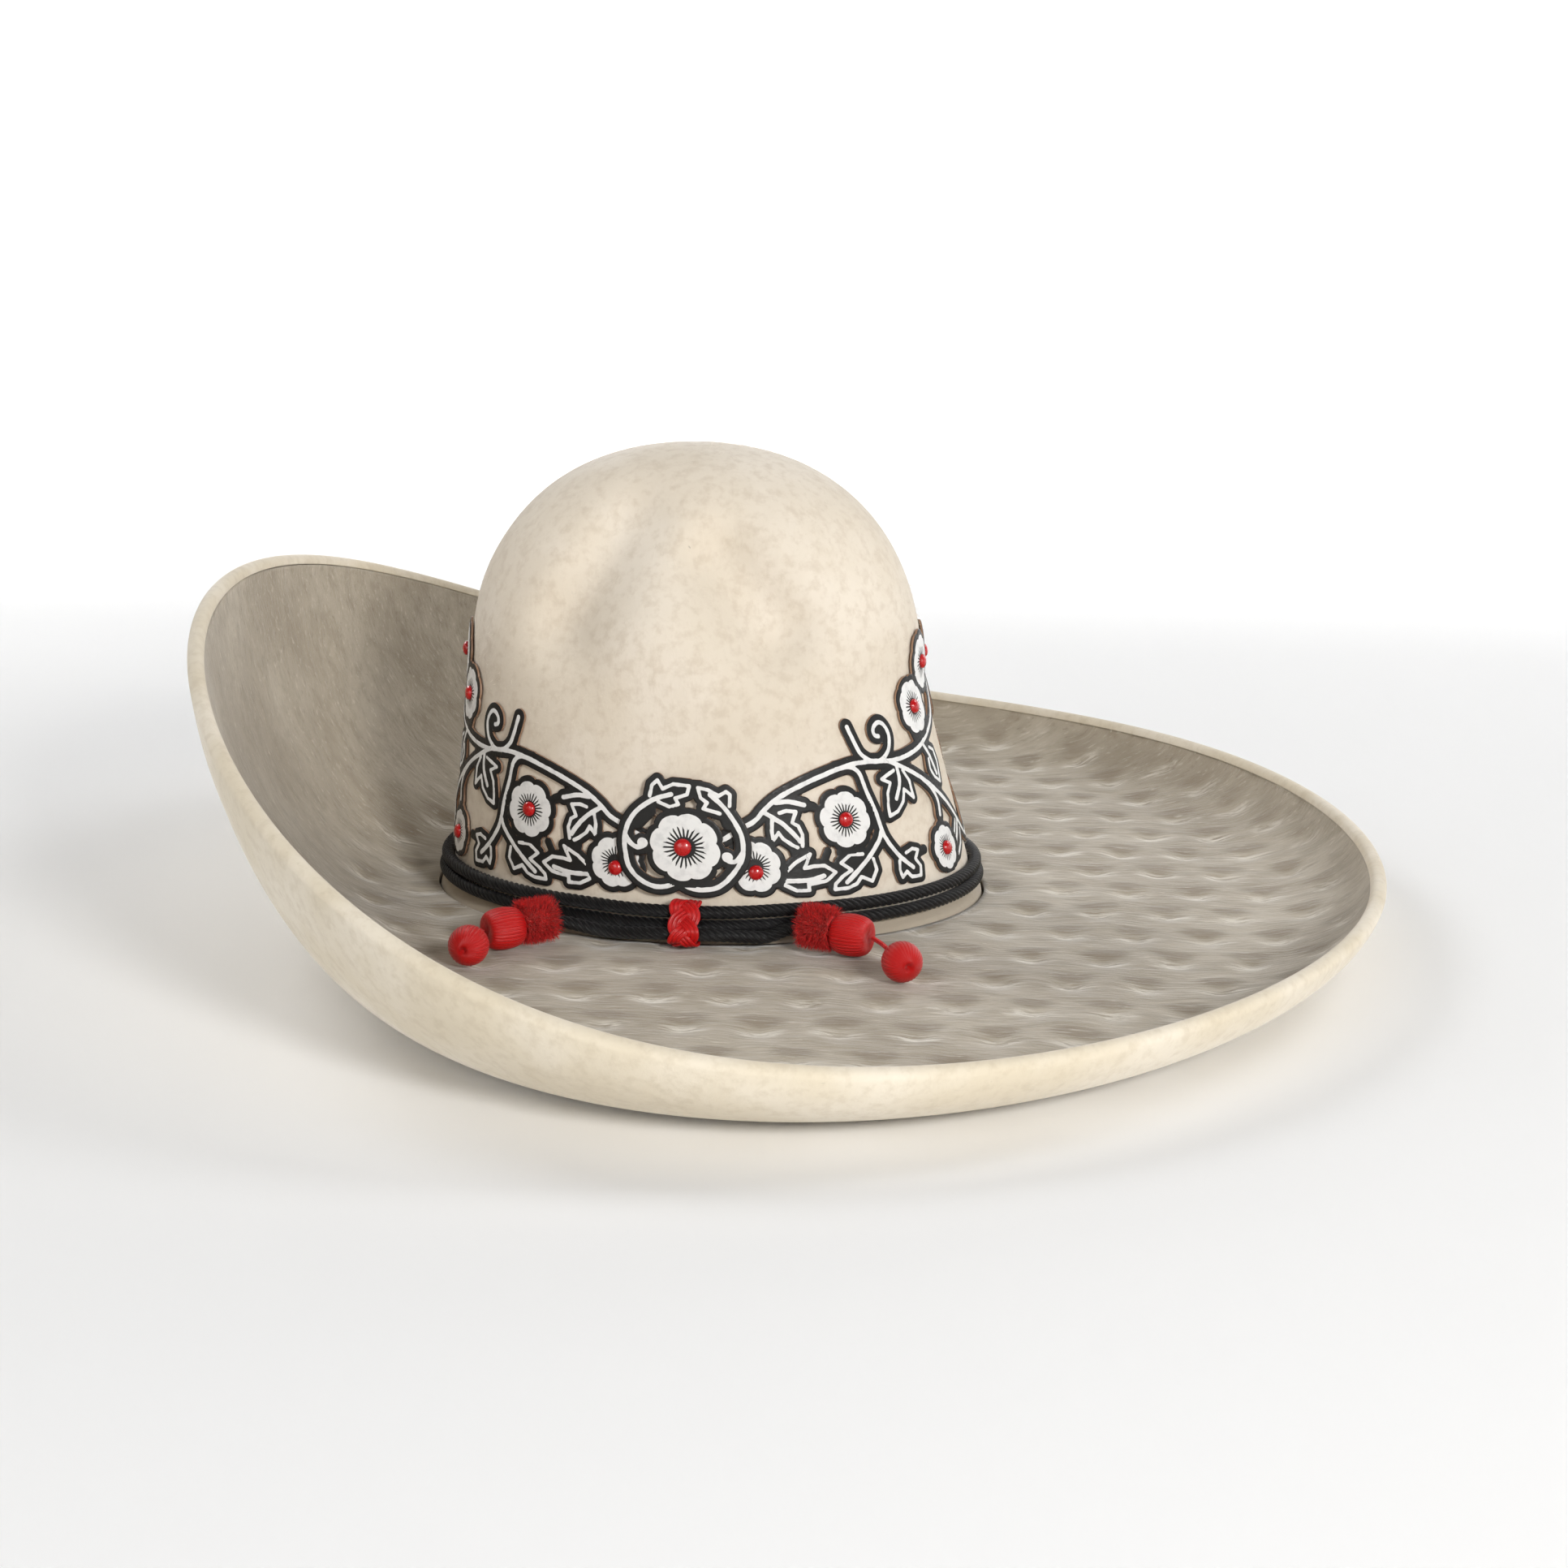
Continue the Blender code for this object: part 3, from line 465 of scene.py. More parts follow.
BEAD_RADIUS = 0.0080
BEAD_LENGTH = 0.0144
BALL_RADIUS = 0.0076
LOOP_RADIUS = 0.0009
red_satin = satin_thread("red_satin_thread", (0.80, 0.006, 0.006), (0.42, 0.001, 0.002), 0.30,
                         threads=3.0, slant=0.0, sheen=0.05)
for which, (side_sign, ruffle_xy, bead_xy, ball_xy) in TASSELS.items():
    under_ruffle, along = tassel_axis(ruffle_xy, bead_xy)
    bead_start = under_ruffle + along * (RUFFLE_LENGTH / 2 + GAP) + (0, 0, BRIM_TOP + BEAD_RADIUS + GAP)
    bead_end = bead_start + along * BEAD_LENGTH
    bead_mouth = ((0.0, 0.50), (0.008, 0.36), (0.035, 0.22), (0.07, 0.10))
    barrel = list(reversed(bead_mouth))
    barrel += [(0.5 - 0.5 * math.cos(math.pi * t), 0.5 + 0.5 * math.sin(math.pi * t) ** 0.62)
               for t in np.linspace(0.03, 0.97, 31)]
    barrel += [(1 - share, radius) for share, radius in bead_mouth]
    barrel = [(share, radius * BEAD_RADIUS) for share, radius in barrel]
    bead = turned_body("bead_wound_" + which, bead_start, bead_end, barrel, 34 * 8, 34, 0.035)
    ball_at = np.array([CROWN_X + ball_xy[0], ball_xy[1], BRIM_TOP + BALL_RADIUS + GAP])
    hinge = bead_end + along * (2 * GAP + LOOP_RADIUS)
    toward = ball_at - hinge
    toward[2] = 0.0
    toward /= np.linalg.norm(toward)
    loop_end = ball_at - toward * (BALL_RADIUS + 2 * GAP + LOOP_RADIUS)
    middle = (hinge + loop_end) / 2 + (0, 0, 0.0006)
    loop_line = smooth_line([hinge, middle, loop_end], 0.00012)
    loop = twisted_cord("thread_loop_" + which, loop_line, LOOP_RADIUS, 0.0026, strands=2, sides=24)
    ball_dimple = ((0.028, 0.22), (0.05, 0.14), (0.10, 0.06))
    sphere = list(reversed(ball_dimple))
    sphere += [(0.5 - 0.5 * math.cos(math.pi * t), math.sin(math.pi * t))
               for t in np.linspace(0.09, 0.91, 37)]
    sphere += [(1 - share, radius) for share, radius in ball_dimple]
    sphere = [(share, radius * BALL_RADIUS) for share, radius in sphere]
    ball = turned_body("ball_wound_" + which, ball_at - toward * BALL_RADIUS, ball_at + toward * BALL_RADIUS,
                       sphere, 32 * 8, 32, 0.035)
    for piece, body, node in ((bead, "hat", "bead_"), (loop, "loop_" + which, "loop_"),
                              (ball, "ball_" + which, "ball_")):
        piece.data.materials.append(red_satin)
        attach(piece, body)
        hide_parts(node + which)


# ---- Crown ----
# Cream fur felt blocked over a form: an upright oval wall that tapers to a rounded top, leans back a
# little and is pinched in twice on each side. Its foot flares out to meet the brim.

CROWN_FELT = 0.0026
DENTS = (((-0.027, 0.160), (-0.052, 0.122)), ((0.007, 0.146), (0.030, 0.121)))
DENT_DEPTH = 0.018
DENT_SPREAD = 0.016
CROWN_SIDES = 288
CROWN_FIBRES = 16000


def dent_pull(x, z):
    pull = np.zeros_like(x)
    for start, end in DENTS:
        a, b = np.array(start), np.array(end)
        p = np.stack([x - CROWN_X, z], axis=-1)
        share = np.clip(((p - a) @ (b - a)) / ((b - a) @ (b - a)), 0.0, 1.0)
        distance = np.linalg.norm(p - (a + share[..., None] * (b - a)), axis=-1)
        pull += DENT_DEPTH * np.exp(-((distance / DENT_SPREAD) ** 2))
    return pull


def crown_rings(inset):
    theta = np.arange(CROWN_SIDES) * 2 * math.pi / CROWN_SIDES
    foot_heights = [0.0005, 0.003, 0.006, 0.0075, 0.009, 0.0105]
    rings = [(z, 1.0) for z in np.concatenate([foot_heights, np.linspace(FOOT_TOP, SHOULDER_Z, 42)])]
    for turn in np.linspace(0, math.pi / 2, 58)[1:-1]:
        share = math.sin(turn) ** (2 / DOME_POWER)
        rings.append((SHOULDER_Z + (DOME_HEIGHT - inset) * share, math.cos(turn) ** (2 / DOME_POWER)))
    built = []
    for z, shrink in rings:
        base = crown_place(theta, min(z, SHOULDER_Z), -inset)
        lean = crown_lean(z)
        x = lean + (base[:, 0] - lean) * shrink
        y = base[:, 1] * shrink
        y = y - np.sign(y) * dent_pull(x, np.full_like(x, z)) * np.sin(theta) ** 2 * shrink
        soft = 0.00035 * np.sin(x * 61 + z * 43) * np.sin(y * 57 - z * 71 + 1.3) * min(1.0, z / 0.09)
        push = 1 + soft / SHOULDER_LENGTH
        built.append(np.stack([lean + (x - lean) * push, y * push, np.full_like(x, z)], axis=-1))
    return built


def ring_mesh(name, rings, closed=False, poles=None):
    """Joins rings of points into one closed skin."""
    sides = len(rings[0])
    points = np.concatenate(rings)
    rows = len(rings)
    faces = grid_faces(rows, sides, closed)
    if poles is not None:
        points = np.vstack([points, poles])
        for j in range(sides):
            m = (j + 1) % sides
            faces.append((m, j, len(points) - 2))
            faces.append(((rows - 1) * sides + j, (rows - 1) * sides + m, len(points) - 1))
    return add_mesh(name, points, faces)


def felt(name, light, mid, speck, nap, grain=1.0, foot=None):
    """Felted fur: soft mottling, a short nap that lies one way, and a few darker hairs."""
    material = new_material(name, mid, 0.92, Sheen_Weight=0.25, Sheen_Roughness=0.45, Specular_IOR_Level=0.25)
    nodes = Nodes(material)
    plain = nodes.stretched((1, 1, 1))
    cloud = nodes.noise(plain, 26.0, 3.0)
    patch = nodes.noise(plain, 210.0, 3.0, 0.6)
    fibre = nodes.noise(nodes.stretched(nap), 260.0, 5.0, 0.65)
    tone = nodes.mix(nodes.smooth(cloud, 0.35, 0.68), (*mid, 1.0), (*light, 1.0))
    tone = nodes.mix(nodes.smooth(patch, 0.42, 0.72, 0.0, 0.42 * grain), tone, (*speck, 1.0))
    tone = nodes.mix(nodes.smooth(fibre, 0.58, 0.80, 0.0, 0.42 * grain), tone, (*speck, 1.0))
    hairs = nodes.noise(nodes.stretched((nap[1] * 0.35, nap[0] * 1.6, nap[2] * 1.1)), 420.0, 2.0)
    tone = nodes.mix(nodes.smooth(hairs, 0.76, 0.84, 0.0, 0.35), tone, (0.16, 0.12, 0.09, 1.0))
    if foot is not None:
        # Painted shade: below the rope the foot is darkened towards the brim's greyer felt, deepened as shade
        # under the rope
        height = nodes.add("SeparateXYZ", {0: plain}).outputs[2]
        tone = nodes.mix(nodes.smooth(height, 0.0095, 0.0135, 0.85, 0.0), tone, (*foot, 1.0))
    nodes.colour(tone)
    nodes.bump(nodes.math("ADD", fibre, nodes.math("MULTIPLY", patch, 0.8)), 0.0005 * grain, 0.55)
    return material


crown_outer = crown_rings(0.0)
crown_inner = crown_rings(CROWN_FELT)
crown_top = np.array([[crown_lean(1.0), 0, SHOULDER_Z + DOME_HEIGHT - CROWN_FELT],
                      [crown_lean(1.0), 0, SHOULDER_Z + DOME_HEIGHT]])
crown = ring_mesh("crown_felt", crown_inner[::-1] + crown_outer, poles=crown_top)
# The crown's darker foot is partly the brim's greyer felt and partly painted shade under the rope.
cream_felt = felt("cream_crown_felt", (0.83, 0.75, 0.64), (0.77, 0.685, 0.565), (0.60, 0.50, 0.385),
                  (1.0, 1.0, 0.35), foot=(0.40, 0.34, 0.26))
crown.data.materials.append(cream_felt)
fuzz_rows = rng.integers(9, len(crown_outer) - 2, CROWN_FIBRES)
fuzz_cols = rng.integers(0, CROWN_SIDES, CROWN_FIBRES)
crown_stack = np.array(crown_outer)
fuzz_roots = crown_stack[fuzz_rows, fuzz_cols]
fuzz_next = crown_stack[fuzz_rows + 1, (fuzz_cols + 1) % CROWN_SIDES]
fuzz_side = crown_stack[fuzz_rows, (fuzz_cols + 1) % CROWN_SIDES]
fuzz_out = np.cross(fuzz_side - fuzz_roots, fuzz_next - fuzz_roots)
fuzz_out /= np.linalg.norm(fuzz_out, axis=1)[:, None]
fuzz_roots = fuzz_roots + (fuzz_next - fuzz_roots) * rng.uniform(0, 1, (CROWN_FIBRES, 1)) * 0.9
nap_lean = fuzz_out * 0.35 + rng.normal(size=(CROWN_FIBRES, 3)) * 0.55 + np.array([0.25, 0.0, -0.55])
crown_fuzz = pile("crown_fuzz", fuzz_roots - fuzz_out * 0.00005, nap_lean, 0.0017, 0.00007, droop=0.5)
crown_fuzz.data.materials.append(cream_felt)
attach(crown_fuzz, "hat")
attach(crown, "hat")
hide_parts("crown")


# ---- Brim under felt and rolled edge ----
# Smooth cream felt that covers the underside, turns up over the rim wire as a rolled edge and hooks
# over the top felt's end. The brim is a dish: flat round the crown, curled up all round, highest behind.

BRIM_HALF = BRIM_TOP / 2
UNDER_FELT = 0.0015
ROLL_INSIDE = BRIM_HALF - UNDER_FELT
HOOK = 0.0013
FLOOR_STEPS = 2.0
CURL_STEPS = 7.0
LAST_STEP = FLOOR_STEPS + CURL_STEPS
CURL_END = math.radians(80)
RIM_HALF_LENGTH = 0.231
RIM_HALF_WIDTH = 0.3026
RIM_WAVES = (0.0567, -0.0452, 0.0228, -0.0057)
BRIM_SIDES = 432
BRIM_THETA = np.arange(BRIM_SIDES) * 2 * math.pi / BRIM_SIDES


def rim_place(theta):
    """The rim's line: an oval a little narrower in front, its height four waves added together."""
    height = sum(wave * np.cos(i * theta) for i, wave in enumerate(RIM_WAVES))
    x = RIM_HALF_LENGTH * np.cos(theta)
    y = RIM_HALF_WIDTH * np.sin(theta) * (1 - 0.048 * np.cos(theta))
    return np.stack([x, y, height - BRIM_HALF], axis=-1)


def brim_middle(theta, step):
    """The middle of the brim's thickness, step by step from the crown to the rolled edge."""
    start = crown_place(theta, 0.0005, GAP)
    start[..., 2] = BRIM_HALF
    rim = rim_place(theta)
    reach = np.linalg.norm((rim - start)[..., :2], axis=-1)
    rise = rim[..., 2] - start[..., 2]
    curl = np.minimum(0.052 + 1.1 * (rise - 0.025), reach - 0.010)
    if step <= FLOOR_STEPS:
        out, up = (reach - curl) * step / FLOOR_STEPS, 0.0 * rise
    else:
        turn = CURL_END * (step - FLOOR_STEPS) / CURL_STEPS
        out = reach - curl + curl * math.sin(turn) / math.sin(CURL_END)
        up = rise * (1 - math.cos(turn)) / (1 - math.cos(CURL_END))
    share = (out / reach)[..., None]
    place = start * (1 - share) + rim * share
    place[..., 2] = start[..., 2] + up
    return place


def brim_frame(step):
    small = 1e-3
    ahead = brim_middle(BRIM_THETA, min(step + small, LAST_STEP))
    outward = ahead - brim_middle(BRIM_THETA, max(step - small, 0.0))
    outward /= np.linalg.norm(outward, axis=1)[:, None]
    around = brim_middle(BRIM_THETA + small, step) - brim_middle(BRIM_THETA - small, step)
    normal = np.cross(outward, around)
    normal /= np.linalg.norm(normal, axis=1)[:, None]
    return brim_middle(BRIM_THETA, step), outward, normal


def brim_ring(step, offset, pull_back=0.0):
    place, outward, normal = brim_frame(step)
    return place + normal * offset - outward * pull_back


def roll_ring(radius, turn):
    place, outward, normal = brim_frame(LAST_STEP)
    return place + (outward * math.cos(turn) + normal * math.sin(turn)) * radius


brim_steps = np.concatenate([np.linspace(0, FLOOR_STEPS, 9)[:-1], np.linspace(FLOOR_STEPS, LAST_STEP, 36)])
roll_turns = np.radians(np.linspace(-80, 85, 12))
under_rings = [brim_ring(step, -BRIM_HALF) for step in brim_steps]
under_rings += [roll_ring(BRIM_HALF, turn) for turn in roll_turns]
under_rings += [brim_ring(LAST_STEP, BRIM_HALF, back) for back in (0.0, 0.5 * HOOK, 0.85 * HOOK)]
under_rings += [brim_ring(LAST_STEP, BRIM_HALF - 0.0004, HOOK), brim_ring(LAST_STEP, ROLL_INSIDE, HOOK)]
under_rings += [brim_ring(LAST_STEP, ROLL_INSIDE)]
under_rings += [roll_ring(ROLL_INSIDE, turn) for turn in roll_turns[::-1]]
under_rings += [brim_ring(step, -ROLL_INSIDE) for step in brim_steps[::-1]]
under = ring_mesh("brim_under_felt_roll", under_rings, closed=True)
under_cream = felt("cream_under_felt", (0.80, 0.725, 0.60), (0.72, 0.635, 0.49), (0.55, 0.46, 0.33),
                   (1.0, 1.0, 1.0), 0.8)
under.data.materials.append(under_cream)
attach(under, "hat")
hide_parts("brim_under_felt")


# ---- Stiffener and rim wire ----
# A sheet of stiffened open-weave cloth between the two felts keeps the brim flat, and a ring of drawn
# spring wire inside the rolled edge holds its shape. Both are sewn in and hidden.

stiff_low = -ROLL_INSIDE + GAP
stiff_high = stiff_low + 0.001
hidden_steps = np.linspace(0, LAST_STEP, 28)


def brim_sheet(name, low, high, steps):
    rings = [brim_ring(step, low, HOOK + GAP if step == LAST_STEP else 0.0) for step in steps]
    rings += [brim_ring(step, high, HOOK + GAP if step == LAST_STEP else 0.0) for step in steps[::-1]]
    return ring_mesh(name, rings, closed=True)


stiffener = brim_sheet("brim_stiffener_cloth", stiff_low, stiff_high, hidden_steps)
buckram = new_material("stiffened_cloth", (0.60, 0.55, 0.44), 0.9)
buckram_nodes = Nodes(buckram)
weave_place = buckram_nodes.stretched((1, 1, 1))
warp, weft = (buckram_nodes.add("TexWave", {"Vector": weave_place, "Scale": 250.0}, bands_direction=way)
              for way in ("X", "Y"))
weave = buckram_nodes.math("MULTIPLY", warp.outputs["Fac"], weft.outputs["Fac"])
buckram_nodes.colour(buckram_nodes.mix(weave, (0.36, 0.32, 0.25, 1.0), (0.68, 0.63, 0.52, 1.0)))
buckram_nodes.bump(weave, 0.0004)
stiffener.data.materials.append(buckram)
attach(stiffener, "hat")
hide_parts("brim_stiffener")

WIRE_RADIUS = 0.0012
WIRE_POINTS = 720
WIRE_SIDES = 14
wire_line = rim_place(np.arange(WIRE_POINTS) * 2 * math.pi / WIRE_POINTS)
tangent, wire_side, wire_up = line_frames(wire_line, closed=True)
wire_rings = []
for turn in np.arange(WIRE_SIDES) * 2 * math.pi / WIRE_SIDES:
    wire_rings.append(wire_line + (wire_side * math.cos(turn) + wire_up * math.sin(turn)) * WIRE_RADIUS)
rim_wire = ring_mesh("rim_wire_ring", wire_rings, closed=True)
spring_wire = new_material("drawn_spring_wire", (0.42, 0.42, 0.43), 0.32, Metallic=1.0)
wire_nodes = Nodes(spring_wire)
wire_tone = wire_nodes.noise(wire_nodes.stretched((1, 1, 1)), 400.0)
wire_nodes.roughness(wire_nodes.smooth(wire_tone, 0.3, 0.7, 0.25, 0.42))
rim_wire.data.materials.append(spring_wire)
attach(rim_wire, "hat")
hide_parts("rim_wire")


# ---- Brim top felt ----
# Greyish long-haired felt, brushed across the hat and tacked down to the stiffener with hidden
# stitches in staggered rows, so that it dips at each tack and its hair gathers into streaks. The gathered
# hair round each tack is painted pale as painted sheen, and the puffed felt between is painted shade.

TACK_ACROSS = 0.027
TACK_DEEP = 0.032
TACK_DIP = 0.0016
TACK_SPREAD = 0.0055
top_steps = np.concatenate([np.linspace(0, FLOOR_STEPS, 49)[:-1], np.linspace(FLOOR_STEPS, LAST_STEP, 64)])


def tack_distance(x, y):
    """Place relative to the nearest tack stitch of the staggered rows."""
    row = np.floor(y / TACK_DEEP + 0.5)
    across = x / TACK_ACROSS + 0.5 * (row % 2)
    return (across - np.floor(across + 0.5)) * TACK_ACROSS, y - row * TACK_DEEP


top_low = stiff_high + GAP
top_rings = [brim_ring(step, top_low, HOOK + GAP if step == LAST_STEP else 0.0) for step in top_steps]
flatness = [1.0] * BRIM_SIDES * len(top_steps)
for step in top_steps[::-1]:
    last = step == LAST_STEP
    ring = brim_ring(step, BRIM_HALF, HOOK + GAP if last else 0.0)
    place, outward, normal = brim_frame(step)
    flat = np.clip((0.016 - (ring[:, 2] - BRIM_TOP)) / 0.012, 0.0, 1.0)
    away_x, away_y = tack_distance(ring[:, 0], ring[:, 1])
    distance = np.hypot(away_x, away_y)
    dip = TACK_DIP * np.exp(-((distance / TACK_SPREAD) ** 2)) * flat
    swell = 0.00025 * np.sin(ring[:, 0] * 170 + ring[:, 1] * 60) * np.sin(ring[:, 1] * 120)
    lower = 0.0 if last or step == 0 else 1.0
    top_rings.append(ring - normal * (lower * (dip + 0.0003 + swell))[:, None])
    flatness += list(flat)
top_felt = ring_mesh("brim_top_felt_brushed", top_rings, closed=True)
mark(top_felt, "tacked", flatness)

brushed = new_material("brushed_brim_felt", (0.48, 0.42, 0.335), 0.95, Sheen_Weight=0.35, Sheen_Roughness=0.4,
                       Specular_IOR_Level=0.25)
nodes = Nodes(brushed)
tacked = nodes.add("Attribute", attribute_name="tacked").outputs["Fac"]
place = nodes.add("TexCoord").outputs["Object"]
bent = nodes.add("TexNoise", {"Vector": place, "Scale": 38.0, "Detail": 1.0}).outputs["Color"]
bent = nodes.add("VectorMath", {0: bent, 1: (0.5, 0.5, 0.5)}, operation="SUBTRACT").outputs[0]
bent = nodes.add("VectorMath", {0: bent, "Scale": 0.010}, operation="SCALE").outputs[0]
swept = nodes.add("VectorMath", {0: place, 1: bent}, operation="ADD").outputs[0]
split = nodes.add("SeparateXYZ", {0: swept})
row = nodes.math("FLOOR", nodes.math("ADD", nodes.math("DIVIDE", split.outputs[1], TACK_DEEP), 0.5))
stagger = nodes.math("MULTIPLY", nodes.math("FLOORED_MODULO", row, 2.0), 0.5)
across = nodes.math("ADD", nodes.math("DIVIDE", split.outputs[0], TACK_ACROSS), stagger)
local_x = nodes.math("SUBTRACT", across, nodes.math("FLOOR", nodes.math("ADD", across, 0.5)))
local_x = nodes.math("MULTIPLY", local_x, TACK_ACROSS)
local_y = nodes.math("SUBTRACT", split.outputs[1], nodes.math("MULTIPLY", row, TACK_DEEP))


def oval(shift_x, shift_y, wide, deep):
    dx = nodes.math("DIVIDE", nodes.math("SUBTRACT", local_x, shift_x), wide)
    dy = nodes.math("DIVIDE", nodes.math("SUBTRACT", local_y, shift_y), deep)
    squares = [nodes.math("MULTIPLY", reach, reach) for reach in (dx, dy)]
    return nodes.math("SQRT", nodes.math("ADD", squares[0], squares[1]))


streak_place = nodes.add("Mapping", {"Vector": swept, "Scale": (0.16, 1.0, 0.55)}).outputs[0]
streak = nodes.noise(streak_place, 520.0, 5.0, 0.62)
coarse_place = nodes.add("Mapping", {"Vector": swept, "Scale": (0.30, 1.0, 0.8)}).outputs[0]
coarse = nodes.noise(coarse_place, 130.0, 4.0, 0.6)
cloud = nodes.noise(place, 16.0, 3.0)
base = nodes.mix(nodes.smooth(cloud, 0.3, 0.7), (0.37, 0.315, 0.24, 1.0), (0.50, 0.44, 0.35, 1.0))
base = nodes.mix(nodes.smooth(coarse, 0.40, 0.70, 0.0, 0.55), base, (0.30, 0.25, 0.18, 1.0))
# Painted shade: darker ovals on the puffed felt between the tacks, where the hair turns from the light
pillow_shade = nodes.smooth(oval(0.0, 0.0110, 0.0092, 0.0058), 0.50, 1.30, 0.72, 0.0)
base = nodes.mix(nodes.math("MULTIPLY", pillow_shade, tacked), base, (0.25, 0.20, 0.14, 1.0))
# Painted sheen: pale streaks round each tack, where the gathered hair catches the light
gather_sheen = nodes.smooth(oval(0.0, -0.001, 0.0105, 0.0048), 0.3, 1.3, 1.0, 0.0)
gather_sheen = nodes.math("MULTIPLY", nodes.math("MULTIPLY", gather_sheen, tacked), nodes.smooth(streak, 0.40, 0.60))
base = nodes.mix(nodes.math("MULTIPLY", gather_sheen, 0.85), base, (0.78, 0.73, 0.64, 1.0))
base = nodes.mix(nodes.smooth(streak, 0.56, 0.74, 0.0, 0.55), base, (0.72, 0.66, 0.56, 1.0))
base = nodes.mix(nodes.smooth(streak, 0.44, 0.28, 0.0, 0.40), base, (0.20, 0.16, 0.115, 1.0))
nodes.colour(base)
nodes.bump(nodes.math("ADD", streak, nodes.math("MULTIPLY", coarse, 1.4)), 0.0009, 0.6)
top_felt.data.materials.append(brushed)
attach(top_felt, "hat")
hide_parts("brim_top_felt")


# ---- Sweatband and bow ----
# A strip of tan leather inside the crown's foot, sewn to it along its lower edge, with a small flat
# bow of thin leather lace at the back that marks the seam.

BAND_LOW = 0.002
BAND_HIGH = 0.047
BAND_THICK = 0.0012
STITCHES = 180
STITCH_POINTS = 7
STITCH_SIDES = 6
STITCH_RADIUS = 0.00028
band_theta = np.arange(CROWN_SIDES) * 2 * math.pi / CROWN_SIDES
band_outer = -CROWN_FELT - GAP
band_inner = band_outer - BAND_THICK
band_profile = [(band_outer, z) for z in np.linspace(BAND_LOW, BAND_HIGH, 22)]
band_profile += [(band_outer - 0.0006, BAND_HIGH + 0.0002)]
band_profile += [(band_inner, z) for z in np.linspace(BAND_HIGH, BAND_LOW, 22)]
band_profile += [(band_outer - 0.0006, BAND_LOW - 0.0002)]
band_rings = [crown_place(band_theta, z, outset) for outset, z in band_profile]
sweatband = ring_mesh("sweatband_leather", band_rings, closed=True)
tan_leather = new_material("tan_sweatband_leather", (0.23, 0.10, 0.042), 0.5, Coat_Weight=0.12,
                           Coat_Roughness=0.4)
leather_nodes = Nodes(tan_leather)
leather_place = leather_nodes.stretched((1, 1, 1))
pores = leather_nodes.add("TexVoronoi", {"Vector": leather_place, "Scale": 900.0}).outputs["Distance"]
wear = leather_nodes.noise(leather_place, 45.0, 4.0)
leather_nodes.colour(leather_nodes.mix(wear, (0.17, 0.072, 0.030, 1.0), (0.30, 0.145, 0.062, 1.0)))
leather_nodes.roughness(leather_nodes.smooth(wear, 0.3, 0.7, 0.42, 0.62))
leather_nodes.bump(pores, 0.0002, 0.5)
sweatband.data.materials.append(tan_leather)
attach(sweatband, "hat")
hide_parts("sweatband")

stitch_points, stitch_faces = [], []
for i in range(STITCHES):
    theta = np.linspace(i, i + 0.62, STITCH_POINTS) * 2 * math.pi / STITCHES
    arch = 0.00035 * np.sin(np.linspace(0, math.pi, STITCH_POINTS))
    line = crown_place(theta, BAND_LOW + 0.004, band_inner - 0.00005 - arch)
    tangent, stitch_side, stitch_up = line_frames(line)
    stitch_faces += grid_faces(STITCH_POINTS, STITCH_SIDES, first=len(stitch_points))
    for middle, side, up in zip(line, stitch_side, stitch_up):
        for turn in np.arange(STITCH_SIDES) * 2 * math.pi / STITCH_SIDES:
            stitch_points.append(middle + (side * math.cos(turn) + up * math.sin(turn)) * STITCH_RADIUS)
stitches = add_mesh("sweatband_stitches", stitch_points, stitch_faces)
stitch_thread = new_material("waxed_stitch_thread", (0.62, 0.52, 0.38), 0.6)
stitch_nodes = Nodes(stitch_thread)
stitch_nodes.bump(stitch_nodes.noise(stitch_nodes.stretched((1, 1, 1)), 3000.0), 0.0001)
stitches.data.materials.append(stitch_thread)
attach(stitches, "hat")

BOW_THICK = 0.0007
BOW_LACE = 0.0040
bow_z = BAND_LOW + 0.0225
bow_wall = crown_place(math.pi, bow_z, -CROWN_FELT - BAND_THICK - 2 * GAP)[0] + 0.0014


def lace(path, width):
    """A flat strip of lace along a path in the bow's own plane: (out from the band, sideways, up)."""
    line = smooth_line([np.array([bow_wall + p[0], p[1], bow_z + p[2]]) for p in path], 0.0004)
    tangent = np.gradient(line, axis=0)
    tangent /= np.linalg.norm(tangent, axis=1)[:, None]
    wide = np.cross(tangent, (1.0, 0, 0))
    wide /= np.maximum(np.linalg.norm(wide, axis=1), 1e-9)[:, None]
    thick = np.cross(tangent, wide)
    rings = []
    corners = ((-1, -0.7), (-0.9, -1), (0.9, -1), (1, -0.7), (1, 0.7), (0.9, 1), (-0.9, 1), (-1, 0.7))
    for a, b in corners:
        rings.append(line + wide * a * width / 2 + thick * b * BOW_THICK / 2)
    points = np.stack(rings, axis=1).reshape(-1, 3)
    sides = len(corners)
    faces = [tuple(range(sides)), tuple((len(line) - 1) * sides + j for j in reversed(range(sides)))]
    return points, faces + grid_faces(len(line), sides, inward=True)


